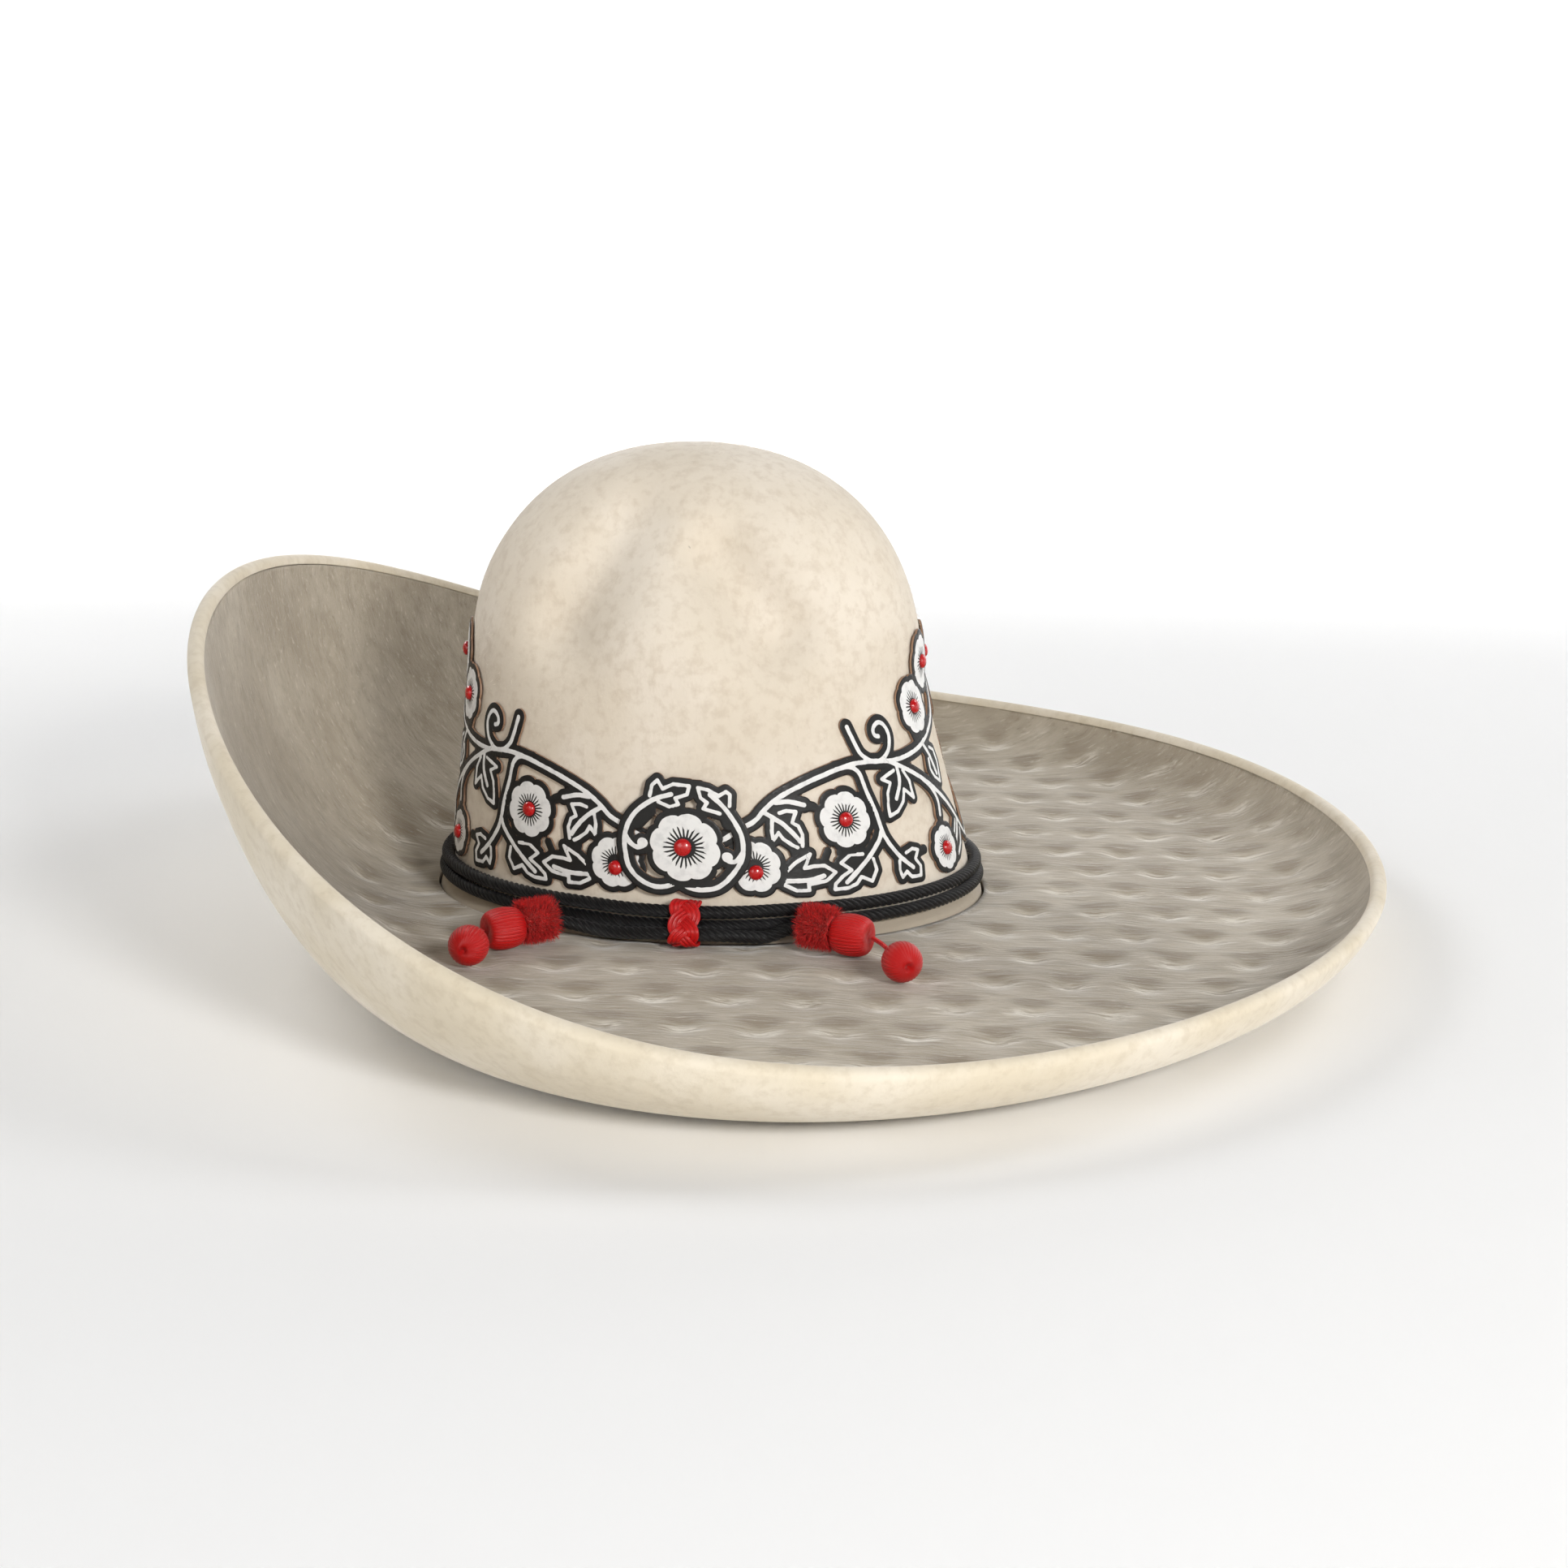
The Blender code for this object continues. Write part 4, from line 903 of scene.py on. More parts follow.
bow_loop = ((0.0003, 0.0, 0.0), (0.0003, 0.006, 0.0018), (0.0008, 0.0125, 0.0004), (0.0014, 0.0062, -0.0012),
            (0.0012, 0.0, 0.0))
bow_end = ((0.0004, 0.0, 0.0), (0.0004, 0.005, -0.003), (0.0004, 0.0085, -0.0062))
bow_knot = ((0.0002, 0.0, -0.0024), (0.0019, 0.0, -0.0016), (0.0021, 0.0, 0.0016), (0.0002, 0.0, 0.0024))
bow_paths = [([(out, way * sideways, up) for out, sideways, up in path], width)
             for path, width in ((bow_loop, BOW_LACE), (bow_end, BOW_LACE * 0.8)) for way in (1, -1)]
bow_points, bow_faces = [], []
for path, width in bow_paths + [(bow_knot, BOW_LACE)]:
    lace_points, lace_faces = lace(path, width)
    first = sum(len(p) for p in bow_points)
    bow_points.append(lace_points)
    bow_faces += [tuple(first + i for i in face) for face in lace_faces]
bow = add_mesh("sweatband_bow_lace", np.concatenate(bow_points), bow_faces)
bow_leather = new_material("thin_lace_leather", (0.17, 0.075, 0.032), 0.45, Coat_Weight=0.1)
bow_nodes = Nodes(bow_leather)
bow_grain = bow_nodes.noise(bow_nodes.stretched((1, 1, 1)), 700.0, 4.0)
bow_nodes.colour(bow_nodes.mix(bow_grain, (0.11, 0.045, 0.018, 1.0), (0.24, 0.11, 0.05, 1.0)))
bow_nodes.bump(bow_grain, 0.0002, 0.5)
bow.data.materials.append(bow_leather)
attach(bow, "hat")
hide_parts("sweatband_bow")


# ---- Leather trim ----
# Black leather cut out with a knife into a vine with leaves and flowers, its lines and petals painted
# white and its raw edges left tan. One piece wraps each end of the crown; it is glued to the felt.

LEATHER = 0.001
# The design is drawn in mm: half a painted line's width, the black border outside it, and the oval of
# the crown that the drawing is laid out on
PAINT_HALF = 0.85
BORDER = 2.3
REF_LENGTH = 99.4
REF_WIDTH = 82.5
FAR_AWAY = 1e9
NO_FLOWER = 9.0
bearing_table = np.linspace(0, math.pi, 721)
ref_x, ref_y = REF_LENGTH * np.sin(bearing_table), REF_WIDTH * -np.cos(bearing_table)
along_table = np.concatenate([[0], np.cumsum(np.hypot(np.diff(ref_x), np.diff(ref_y)))])
END_ALONG = float(along_table[360])


def bearing_at(along):
    """Angle round the crown, from the middle of its side, for a distance in mm along the trim."""
    return np.sign(along) * np.interp(np.abs(along), along_table, bearing_table)


def along_at_end_angle(angle):
    return float(np.interp(math.pi / 2 - math.radians(angle), bearing_table, along_table))


def path_distance(x, z, path):
    """Distance in mm from places to a line of points."""
    best = np.full(x.shape, FAR_AWAY)
    for (ax, az), (bx, bz) in zip(path[:-1], path[1:]):
        ux, uz = bx - ax, bz - az
        share = np.clip(((x - ax) * ux + (z - az) * uz) / (ux * ux + uz * uz + 1e-12), 0.0, 1.0)
        best = np.minimum(best, np.hypot(x - ax - share * ux, z - az - share * uz))
    return best


def inside_outline(x, z, outline):
    inside = np.zeros(x.shape, bool)
    for (ax, az), (bx, bz) in zip(outline, outline[1:] + outline[:1]):
        crosses = (az > z) != (bz > z)
        run = (bx - ax) * (z - az) / (bz - az + 1e-12) + ax
        inside ^= crosses & (x < run)
    return inside


def petal_edge(turn):
    """The flower's outline: eight round petals with a notch between each."""
    return 0.885 + 0.115 * np.abs(np.cos(4 * turn)) ** 0.55


def design_fields(x, z, strokes, leaves, bridges, flowers):
    """Signed distances in mm to the leather's outline and to the white paint, and places in the flowers."""
    leather = np.full(x.shape, FAR_AWAY)
    paint = np.full(x.shape, FAR_AWAY)
    for points in strokes:
        distance = path_distance(x, z, smooth_line(points, 1.0))
        paint = np.minimum(paint, distance - PAINT_HALF)
        leather = np.minimum(leather, distance - PAINT_HALF - BORDER)
    for parts in leaves:
        outline = [p for part in parts for p in part]
        for part in parts:
            distance = path_distance(x, z, np.array(part, float))
            paint = np.minimum(paint, distance - PAINT_HALF * 0.78)
            leather = np.minimum(leather, distance - PAINT_HALF - BORDER * 0.8)
        leather = np.where(inside_outline(x, z, outline), np.minimum(leather, -1.0), leather)
    for points, radius in bridges:
        leather = np.minimum(leather, path_distance(x, z, np.array(points, float)) - radius)
    flower_x = np.full(x.shape, NO_FLOWER)
    flower_z = np.full(x.shape, NO_FLOWER)
    nearest = np.full(x.shape, FAR_AWAY)
    for cx, cz, radius, spin in flowers:
        dx, dz = x - cx, z - cz
        distance = np.hypot(dx, dz)
        edge = radius * petal_edge(np.arctan2(dz, dx) + spin)
        paint = np.where(distance < radius + BORDER, distance - edge, paint)
        paint = np.minimum(paint, distance - edge)
        leather = np.minimum(leather, distance - edge - BORDER)
        closer = distance / radius < nearest
        nearest = np.where(closer, distance / radius, nearest)
        turn_c, turn_s = math.cos(spin), math.sin(spin)
        flower_x = np.where(closer, (dx * turn_c - dz * turn_s) / radius, flower_x)
        flower_z = np.where(closer, (dx * turn_s + dz * turn_c) / radius, flower_z)
    return leather, paint, flower_x, flower_z


def cut_leather(name, low, high, design, place, outset, grid=0.42):
    """Cuts the design out of a thin sheet and wraps it round the crown. Points just outside the design
    are pulled back on to its outline, so that the cut edge is smooth."""
    xs = np.arange(low[0], high[0] + grid, grid)
    zs = np.arange(low[1], high[1] + grid, grid)
    x, z = np.meshgrid(xs, zs, indexing="ij")
    leather = design(x, z)[0]
    slope_x, slope_z = np.gradient(leather, grid)
    steep = np.maximum(slope_x ** 2 + slope_z ** 2, 0.25)
    near = (leather > 0) & (leather < grid * 1.6)
    shift = np.where(near, leather / steep, 0.0)
    x = x - shift * slope_x
    z = z - shift * slope_z
    inside = leather <= 0
    cells = np.argwhere(inside[:-1, :-1] | inside[1:, 1:] | inside[1:, :-1] | inside[:-1, 1:])
    number = np.full(x.shape, -1)
    corner_lists = [cells, cells + (1, 0), cells + (1, 1), cells + (0, 1)]
    for corners in corner_lists:
        number[corners[:, 0], corners[:, 1]] = 0
    used = np.argwhere(number == 0)
    number[used[:, 0], used[:, 1]] = np.arange(len(used))
    quads = np.stack([number[c[:, 0], c[:, 1]] for c in corner_lists], axis=1)
    px, pz = x[used[:, 0], used[:, 1]], z[used[:, 0], used[:, 1]]
    depth, paint, flower_x, flower_z = design(px, pz)
    count = len(used)
    edges = dict.fromkeys((a, b) for quad in quads for a, b in zip(quad, np.roll(quad, -1)))
    rim = [(a, b) for a, b in edges if (b, a) not in edges]
    rounding = 0.00022 * np.clip(1 + depth / 0.7, 0.0, 1.0) ** 2
    raised = 0.00010 * np.clip(0.5 - paint / 0.5, 0.0, 1.0)
    top = place(px, pz, outset + LEATHER - rounding + raised)
    bottom = place(px, pz, np.full(count, outset))
    rim_ids = sorted({i for edge in rim for i in edge})
    rim_number = {i: 2 * count + k for k, i in enumerate(rim_ids)}
    points = np.concatenate([top, bottom, top[rim_ids], bottom[rim_ids]])
    faces = [tuple(q) for q in quads] + [tuple(int(i) + count for i in q[::-1]) for q in quads]
    wall_count = len(rim_ids)
    for a, b in rim:
        wall_a, wall_b = rim_number[a], rim_number[b]
        faces.append((wall_b, wall_a, wall_a + wall_count, wall_b + wall_count))
    piece = add_mesh(name, points, faces)
    unpainted = np.full(count + 2 * wall_count, 9.0)
    for field, values in (("paint", paint), ("flower_x", flower_x), ("flower_z", flower_z), ("depth", depth)):
        mark(piece, field, np.concatenate([values, unpainted]))
    mark(piece, "raw", np.concatenate([np.zeros(count), np.ones(count + 2 * wall_count)]))
    return piece


# White lines of the vine, in mm along the crown from the middle of its side and up from the ground
VINE = (
    ((12, 43.4), (16, 45.0), (21, 48.0), (27.4, 51.3), (31.6, 55.4), (37.8, 59.8), (47.8, 64.1), (57.2, 67.1),
     (66.9, 69.4), (73.9, 70.2), (81.5, 69.9), (91, 69), (100.3, 69.5), (111.1, 71.5), (122, 75.7),
     (131, 80.6), (137, 87.5), (141, 96), (END_ALONG, 103)),
    ((88, 69.3), (94.1, 66.6), (103, 62), (112.8, 55.7), (123.6, 46.9), (132.8, 37.2), (138.5, 31.5),
     (END_ALONG, 29)),
    ((63, 68.8), (69.1, 69.2), (73, 66.3), (74.8, 59.2), (77.4, 50.5), (78.5, 44.1), (80.1, 39.5),
     (84.5, 33.0), (90.2, 27.6)),
    ((78.5, 44.1), (76.5, 40.4), (70.5, 34.5), (64.3, 29.6), (59.6, 26.2)),
    ((71.3, 84.1), (73.4, 78), (75.5, 73.4), (79.3, 70.4), (83, 69.8)),
    ((80.5, 69.9), (84.9, 69.8), (89.9, 72.9), (92.1, 78.3), (90.6, 82.5), (87.4, 84.2), (84.1, 82.1),
     (84.2, 79.6), (86.2, 79.0)),
    ((36.2, 57.9), (41.5, 58.0), (47.3, 56.5)),
    ((31.0, 54.6), (37.5, 50.2), (41.5, 46.0), (43.6, 43.0)),
    ((33.8, 28.6), (44.3, 28.2), (51, 29.4)),
    ((92.8, 67.2), (92.6, 60.5), (89.0, 54.4)),
    ((107, 59.6), (112.6, 54.6), (115.4, 49), (114.6, 43.5)),
    ((113.5, 72.4), (117.6, 66.5), (120.4, 59.0)),
    ((131.5, 38.0), (127, 33.5), (121.5, 28.6)),
)
# Leaf outlines: two open lines round each leaf, from its stem to its tip
LEAVES = (
    (((34.0, 51.4), (33.4, 47.6), (33.6, 43.8), (35.9, 46.7), (37.4, 44.2), (40.2, 42.0), (42.4, 40.8)),
     ((44.4, 41.2), (45.0, 45.4), (43.8, 48.8), (41.6, 50.1), (43.6, 54.2), (40.0, 54.7), (37.2, 54.0))),
    (((36.3, 31.4), (40.7, 35.0), (46.8, 38.0), (44.0, 32.8), (47.4, 33.3), (51.8, 33.2), (55.8, 30.4)),
     ((55.8, 30.4), (51.8, 27.6), (47.3, 26.9), (44.6, 26.8), (44.6, 24.4), (40.0, 24.6), (36.0, 26.8))),
    (((68.0, 36.0), (62.8, 36.4), (58.4, 33.6), (62.2, 30.6), (58.0, 28.4), (55.0, 26.0), (54.4, 24.0)),
     ((54.4, 24.0), (59.8, 24.0), (63.4, 25.2), (65.8, 27.6), (70.0, 25.4), (72.8, 29.4), (72.2, 33.6))),
    (((84.0, 31.0), (83.4, 27.6), (84.0, 24.6), (86.6, 26.6), (88.6, 24.2), (93.4, 23.8)),
     ((93.4, 23.8), (94.2, 27.4), (92.2, 30.6), (94.6, 33.6), (91.6, 34.6), (88.0, 33.6))),
    (((90.6, 65.2), (83.2, 62.8), (87.4, 60.8), (85.0, 57.0), (84.0, 52.4), (83.8, 48.4)),
     ((83.8, 48.4), (88.2, 49.6), (92.4, 53.0), (94.2, 57.4), (98.8, 53.4), (98.4, 60.0), (95.6, 64.6))),
    (((119.0, 69.6), (122.4, 68.0), (123.8, 62.8), (122.2, 55.4)),
     ((122.2, 55.4), (117.8, 58.0), (115.4, 61.6), (116.0, 65.4))),
    (((128.6, 38.4), (124.4, 34.6), (119.8, 30.0), (118.2, 25.0)),
     ((118.2, 25.0), (123.6, 26.0), (129.0, 29.4), (132.4, 34.0))),
)
# Black leather that ties the pieces of the vine together, each with its half width
BRIDGES = (
    (((69.5, 54.5), (75.0, 56.0)), 2.4),
    (((60.5, 37.5), (61.5, 35.0)), 3.2),
    (((40.5, 41.0), (41.5, 36.5)), 1.8),
    (((33.0, 29.0), (36.0, 29.5)), 2.4),
    (((95.0, 32.5), (98.5, 33.0)), 1.9),
    (((48.5, 56.2), (51.0, 55.4)), 2.0),
    (((54.0, 38.5), (52.0, 35.0)), 1.6),
    (((109.5, 76.5), (111.5, 72.5)), 2.6),
    (((113.5, 96.0), (117.5, 93.5)), 2.4),
    (((136.0, 86.0), (133.0, 92.0)), 1.6),
    (((117.5, 57.5), (113.5, 56.5)), 1.6),
)
# Angle from the end of the crown in degrees, height and radius in mm, turn of the petals
FLOWERS = ((9.0, 102.0, 10.6, 0.1), (20.2, 86.7, 10.4, 0.35), (20.6, 30.9, 8.6, 0.0), (52.7, 49.7, 10.6, 0.2),
           (75.1, 34.2, 9.6, 0.5))


def panel_design(x, z):
    """Half of the vine, mirrored about the end of the crown."""
    half = np.where(x > END_ALONG, 2 * END_ALONG - x, x)
    flowers = [(along_at_end_angle(angle), height, radius, spin) for angle, height, radius, spin in FLOWERS]
    return design_fields(half, z, VINE, LEAVES, BRIDGES, flowers)


painted_leather = new_material("painted_cut_leather", (0.012, 0.012, 0.012), 0.42, Specular_IOR_Level=0.35)
nodes = Nodes(painted_leather)
place = nodes.stretched((1, 1, 1))
grain = nodes.noise(place, 1100.0, 3.0)
brushwork = nodes.noise(place, 330.0, 3.0)
paint = nodes.add("Attribute", attribute_name="paint").outputs["Fac"]
raw = nodes.add("Attribute", attribute_name="raw").outputs["Fac"]
depth = nodes.add("Attribute", attribute_name="depth").outputs["Fac"]
local_x = nodes.add("Attribute", attribute_name="flower_x").outputs["Fac"]
local_z = nodes.add("Attribute", attribute_name="flower_z").outputs["Fac"]
radius = nodes.math("SQRT", nodes.math("ADD", nodes.math("MULTIPLY", local_x, local_x),
                                       nodes.math("MULTIPLY", local_z, local_z)))
turn = nodes.math("ARCTAN2", local_z, local_x)
ragged = nodes.math("MULTIPLY", nodes.math("SUBTRACT", brushwork, 0.5), 0.55)
whiteness = nodes.smooth(nodes.math("ADD", paint, ragged), -0.06, 0.10, 1.0, 0.0)
spoke = nodes.math("ABSOLUTE", nodes.math("SINE", nodes.math("MULTIPLY", turn, 12.0)))
spoke_width = nodes.math("MULTIPLY", nodes.math("DIVIDE", 0.22, nodes.math("MAXIMUM", radius, 0.05)), 1.35)
spoke = nodes.smooth(nodes.math("SUBTRACT", spoke, spoke_width), -0.12, 0.12, 1.0, 0.0)
jitter = nodes.math("MULTIPLY", nodes.math("SINE", nodes.math("MULTIPLY", turn, 29.0)), 0.05)
reach = nodes.smooth(nodes.math("ADD", radius, jitter), 0.56, 0.60, 1.0, 0.0)
stamens = nodes.math("MULTIPLY", spoke, reach)
centre = nodes.smooth(radius, 0.30, 0.33, 1.0, 0.0)
ink = nodes.math("MAXIMUM", stamens, centre)
thin_paint = nodes.smooth(brushwork, 0.45, 0.75, 0.0, 0.5)
white = nodes.mix(thin_paint, (0.87, 0.87, 0.86, 1.0), (0.62, 0.62, 0.62, 1.0))
black = nodes.mix(grain, (0.005, 0.005, 0.005, 1.0), (0.020, 0.020, 0.020, 1.0))
whiteness = nodes.math("MULTIPLY", whiteness, nodes.math("SUBTRACT", 1.0, ink), clamp=True)
shade = nodes.mix(whiteness, black, white)
worn = nodes.smooth(nodes.math("ADD", depth, nodes.math("MULTIPLY", brushwork, 0.6)), 0.22, 0.42, 0.0, 0.9)
shade = nodes.mix(worn, shade, (0.27, 0.15, 0.085, 1.0))
tan_edge = nodes.mix(brushwork, (0.20, 0.105, 0.060, 1.0), (0.42, 0.27, 0.18, 1.0))
nodes.colour(nodes.mix(nodes.smooth(raw, 0.4, 0.6), shade, tan_edge))
nodes.roughness(nodes.smooth(grain, 0.3, 0.7, 0.36, 0.6))
nodes.bump(nodes.math("ADD", nodes.math("MULTIPLY", grain, 0.6), brushwork), 0.00012, 0.6)


def wrap_from(start, way):
    """Lays a drawing in mm on the crown, from an angle and one way round."""
    def wrap(along, height, outset):
        return crown_place(start + way * bearing_at(along), height / 1000, outset)
    return wrap


for name, wrap, node in (("vine_trim_front", wrap_from(-math.pi / 2, 1), "vine_panel_front"),
                         ("vine_trim_back", wrap_from(-math.pi / 2, -1), "vine_panel_back")):
    trim = cut_leather(name, (9.0, 21.0), (2 * END_ALONG - 9.0, 118.0), panel_design, wrap, 2 * GAP)
    trim.data.materials.append(painted_leather)
    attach(trim, "hat")
    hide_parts(node)


# ---- Medallions ----
# A second layer of the same leather over the meeting ends of the vines, one on each side of the hat: a
# ring with two leaves and a dotted curl each side, round one large flower.

RING = (
    ((-1.9, 29.4), (-6, 27.0), (-11, 26.6), (-16, 28.8), (-19.8, 33), (-21.2, 38.5), (-21.5, 44), (-19.8, 50),
     (-16, 55), (-10, 59.2), (-3, 61.5)),
    ((-1.9, 29.4), (1, 26.9), (6, 25.9), (12, 27.2), (17, 31.6), (20.8, 37), (22, 42.5), (21.2, 48),
     (18.2, 54), (15.4, 58), (11.6, 61.6)),
    ((-20.8, 45), (-19.2, 42.4), (-16.8, 40.9), (-14.8, 41.4)),
    ((21.6, 40), (20.0, 37.6), (18.0, 36.4), (16.2, 36.8)),
    ((-14.4, 43.0), (-14.9, 43.2)),
    ((-14.2, 42.4), (-14.6, 42.6)),
    ((16.0, 38.4), (15.6, 38.6)),
    ((16.2, 38.0), (15.8, 37.9)),
)
RING_LEAVES = (
    (((-11.2, 60.6), (-10.2, 64.6), (-8.0, 66.6), (-6.2, 63.4), (-2.0, 65.2), (4.0, 64.8), (3.0, 61.6),
      (-1.6, 60.0), (-0.6, 57.8), (-3.6, 56.6), (-8.0, 58.4)),),
    (((14.6, 54.6), (8.6, 56.4), (10.2, 58.6), (7.9, 60.4), (7.2, 64.2), (11.0, 63.4), (14.8, 61.2),
      (17.6, 62.8), (19.0, 61.6), (18.4, 57.4)),),
)
RING_BRIDGES = (
    (((-3.0, 57.5), (-3.0, 54.5)), 2.6),
    (((9.0, 56.6), (8.0, 54.0)), 2.2),
    (((-14.5, 43.0), (-11.5, 42.5)), 3.0),
    (((16.0, 38.3), (13.0, 39.5)), 3.0),
    (((-1.9, 31.5), (-1.9, 29.4)), 3.0),
    (((3.5, 65.0), (8.0, 64.8)), 2.2),
    (((-17.0, 51.0), (-12.5, 55.5)), 3.6),
    (((17.5, 50.5), (16.2, 54.5)), 2.6),
)


def medallion_design(x, z):
    leather, paint, flower_x, flower_z = design_fields(x, z, RING, RING_LEAVES, RING_BRIDGES,
                                                       ((0.8, 41.7, 12.8, 0.25),))
    for cx, cz in ((-14.7, 42.8), (15.9, 38.2)):
        paint = np.minimum(paint, np.hypot(x - cx, z - cz) - 1.9)
    return leather, paint, flower_x, flower_z


for name, wrap, node in (("medallion_trim_near", wrap_from(-math.pi / 2, 1), "medallion_near"),
                         ("medallion_trim_far", wrap_from(math.pi / 2, 1), "medallion_far")):
    trim = cut_leather(name, (-25.5, 22.5), (26.5, 70.5), medallion_design, wrap, 4 * GAP + LEATHER, 0.34)
    trim.data.materials.append(painted_leather)
    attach(trim, "hat")
    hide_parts(node)


# ---- Studs ----
# A glossy red domed stud with a thin turned-in rim in the middle of each flower, pushed through the
# leather and the felt.

red_gloss = new_material("red_enamel", (0.50, 0.004, 0.006), 0.22, Coat_Weight=0.6, Coat_Roughness=0.08)
stud_nodes = Nodes(red_gloss)
stud_tone = stud_nodes.noise(stud_nodes.stretched((1, 1, 1)), 260.0, 2.0)
stud_nodes.colour(stud_nodes.mix(stud_tone, (0.38, 0.002, 0.004, 1.0), (0.66, 0.008, 0.010, 1.0)))
stud_nodes.roughness(stud_nodes.smooth(stud_tone, 0.3, 0.7, 0.18, 0.34))


STUD_HEIGHT = 0.0021
STUD_RADIUS = 0.0029
MEDALLION_STUD_RADIUS = 0.0034
# Degrees from the end of the crown, height above the ground and name of each stud on a vine
STUDS = ((9.0, 0.1020, "top"), (20.2, 0.0867, "upper"), (20.6, 0.0306, "side"), (52.7, 0.0497, "main"),
         (75.1, 0.0320, "tucked"))


def dome(name, at, outward, radius, node):
    """A stud whose foot is sunk a quarter of its height into the leather."""
    outward = outward / np.linalg.norm(outward)
    outline = [(-0.25, radius * 0.93), (0.06, radius), (0.20, radius * 0.985)]
    outline += [(0.20 + 0.80 * math.sin(t), radius * 0.985 * math.cos(t)) for t in np.linspace(0.12, 1.5, 12)]
    stud = turned_body(name, at, at + outward * STUD_HEIGHT, outline, 36)
    stud.data.materials.append(red_gloss)
    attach(stud, "hat")
    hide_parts(node)


for side_sign, side_name in ((-1, "near"), (1, "far")):
    places = [(side_sign * math.pi / 2, 0.0417, 2 * LEATHER + 4 * GAP, MEDALLION_STUD_RADIUS, "_medallion")]
    for angle, height, end_name in STUDS:
        turn = side_sign * math.radians(angle)
        places.append((turn, height, LEATHER + 2 * GAP, STUD_RADIUS, "_front_" + end_name))
        places.append((math.pi - turn, height, LEATHER + 2 * GAP, STUD_RADIUS, "_back_" + end_name))
    for theta, height, lift, radius, ending in places:
        at = crown_place(theta, height, lift)
        around = crown_place(theta + 1e-3, height) - crown_place(theta - 1e-3, height)
        rising = crown_place(theta, height + 1e-3) - crown_place(theta, height - 1e-3)
        name = side_name + ending
        dome("red_stud_" + name, at, np.cross(around, rising), radius, "stud_" + name)


# ---- Rope hatband ----
# One satin rope wound twice round the foot of the crown. Its two turns change rows behind the far side,
# where the second passes over the first.

ROPE_END_GAP = 0.0004
crossing = math.radians(26)
turns = np.linspace(0.0, 2.0, 4801)
rope_theta = -math.pi / 2 + 2 * math.pi * turns
rope_theta[0] += ROPE_END_GAP / SHOULDER_LENGTH
rope_theta[-1] -= ROPE_END_GAP / SHOULDER_LENGTH
from_far_side = 2 * math.pi * (turns % 1.0) - math.pi
from_far_side[-1] = math.pi
swap = 0.5 + 0.5 * np.sin(math.pi / 2 * np.clip(from_far_side / crossing, -1.0, 1.0))
first = turns < 1.0
high = np.where(first, swap, 1.0 - swap)
rope_z = LOWER_ROPE_Z + ROPE_PITCH * high
over = np.where(first, 0.0, ROPE_PITCH * np.exp(-((from_far_side / crossing / 0.75) ** 4)))
rope_line = even_line(rope_place(rope_theta, rope_z, over), 0.0004)
rope = twisted_cord("hatband_rope_twisted", rope_line, ROPE_RADIUS, ROPE_TURN)
rope.data.materials.append(black_satin)
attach(rope, "hat")
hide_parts("hatband_rope")


# ---- Slider knot ----
# Three flat strands of red satin cord, each of three cords side by side, plaited into a tight sleeve
# round the two turns of rope and the two tails. It slides along them.

CORD_WIDE = 0.00085
CORD_THICK = 0.00058
CORD_SIDES = 14
CORD_APART = 0.00155
KNOT_RADIUS = 0.00375
PLAIT_SWING = 0.0037
PLAIT_LIFT = 0.00055
upper_turn = rope_place(-math.pi / 2, UPPER_ROPE_Z)
knot_centres = np.array([upper_turn[1:], lower_turn[1:], tail_exit[1:]])
knot_x = float(upper_turn[0])


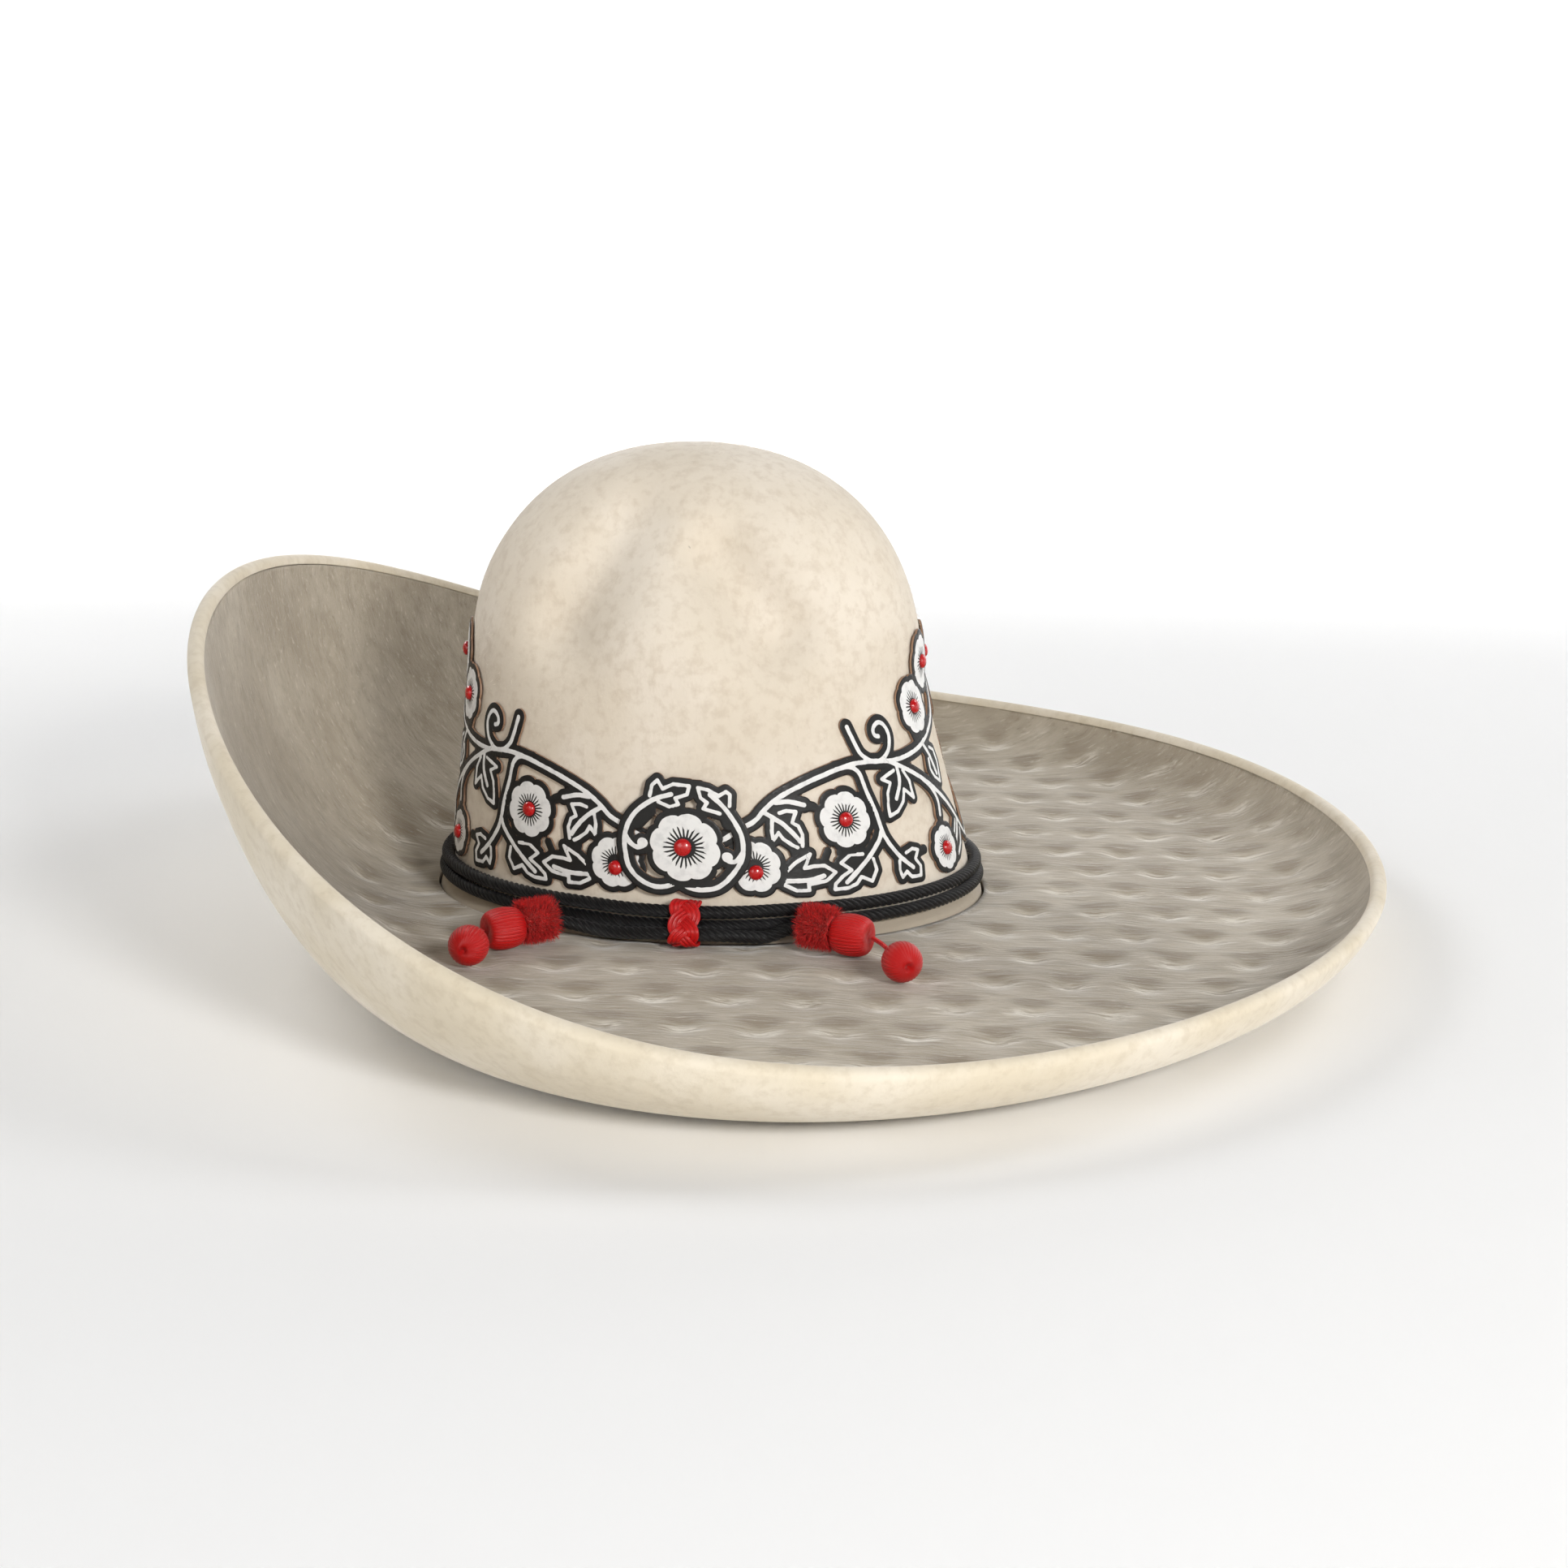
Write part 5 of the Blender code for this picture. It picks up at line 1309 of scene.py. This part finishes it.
def knot_outline(radius):
    """The line round the rope's three sections, at one distance from their middles."""
    facing = np.arange(720) * 2 * math.pi / 720
    ways = np.stack([np.cos(facing), np.sin(facing)], axis=1)
    farthest = np.argmax(knot_centres @ ways.T, axis=0)
    return even_line(knot_centres[farthest] + ways * radius, 0.0002, closed=True)


knot_points, knot_faces, knot_across, knot_along = [], [], [], []
base_line = even_line(knot_outline(KNOT_RADIUS), 0.00016, closed=True)
round_run = np.arange(len(base_line)) / len(base_line)
normal_turn = np.gradient(np.vstack([base_line[-1:], base_line, base_line[:1]]), axis=0)[1:-1]
base_out = np.stack([normal_turn[:, 1], -normal_turn[:, 0]], axis=1)
base_out /= np.linalg.norm(base_out, axis=1)[:, None]
for strand in range(3):
    phase = 2 * math.pi * (2 * round_run + strand / 3)
    shift_x = PLAIT_SWING * np.sin(phase)
    lift = PLAIT_LIFT * np.sin(2 * phase)
    middle = np.stack([knot_x + shift_x, base_line[:, 0] + base_out[:, 0] * lift,
                       base_line[:, 1] + base_out[:, 1] * lift], axis=1)
    out3 = np.stack([np.zeros(len(middle)), base_out[:, 0], base_out[:, 1]], axis=1)
    ahead = np.roll(middle, -1, axis=0) - np.roll(middle, 1, axis=0)
    ahead /= np.linalg.norm(ahead, axis=1)[:, None]
    wide = np.cross(ahead, out3)
    wide /= np.linalg.norm(wide, axis=1)[:, None]
    thick = np.cross(wide, ahead)
    for beside in (-1, 0, 1):
        line = middle + wide * beside * CORD_APART
        turn = np.arange(CORD_SIDES) * 2 * math.pi / CORD_SIDES
        ring = (line[:, None, :] + wide[:, None, :] * (np.cos(turn) * CORD_WIDE)[None, :, None]
                + thick[:, None, :] * (np.sin(turn) * CORD_THICK)[None, :, None])
        first_point = sum(len(points) for points in knot_points)
        knot_points.append(ring.reshape(-1, 3))
        knot_across.append(np.tile(turn / (2 * math.pi) * 4, len(line)))
        knot_along.append(np.repeat(round_run * 0.04, CORD_SIDES))
        knot_faces += grid_faces(len(line), CORD_SIDES, closed=True, first=first_point)
knot = add_mesh("slider_knot_plait", np.concatenate(knot_points), knot_faces)
mark(knot, "across", np.concatenate(knot_across))
mark(knot, "along", np.concatenate(knot_along))
knot.data.materials.append(red_satin)
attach(knot, "knot")
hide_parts("slider_knot")
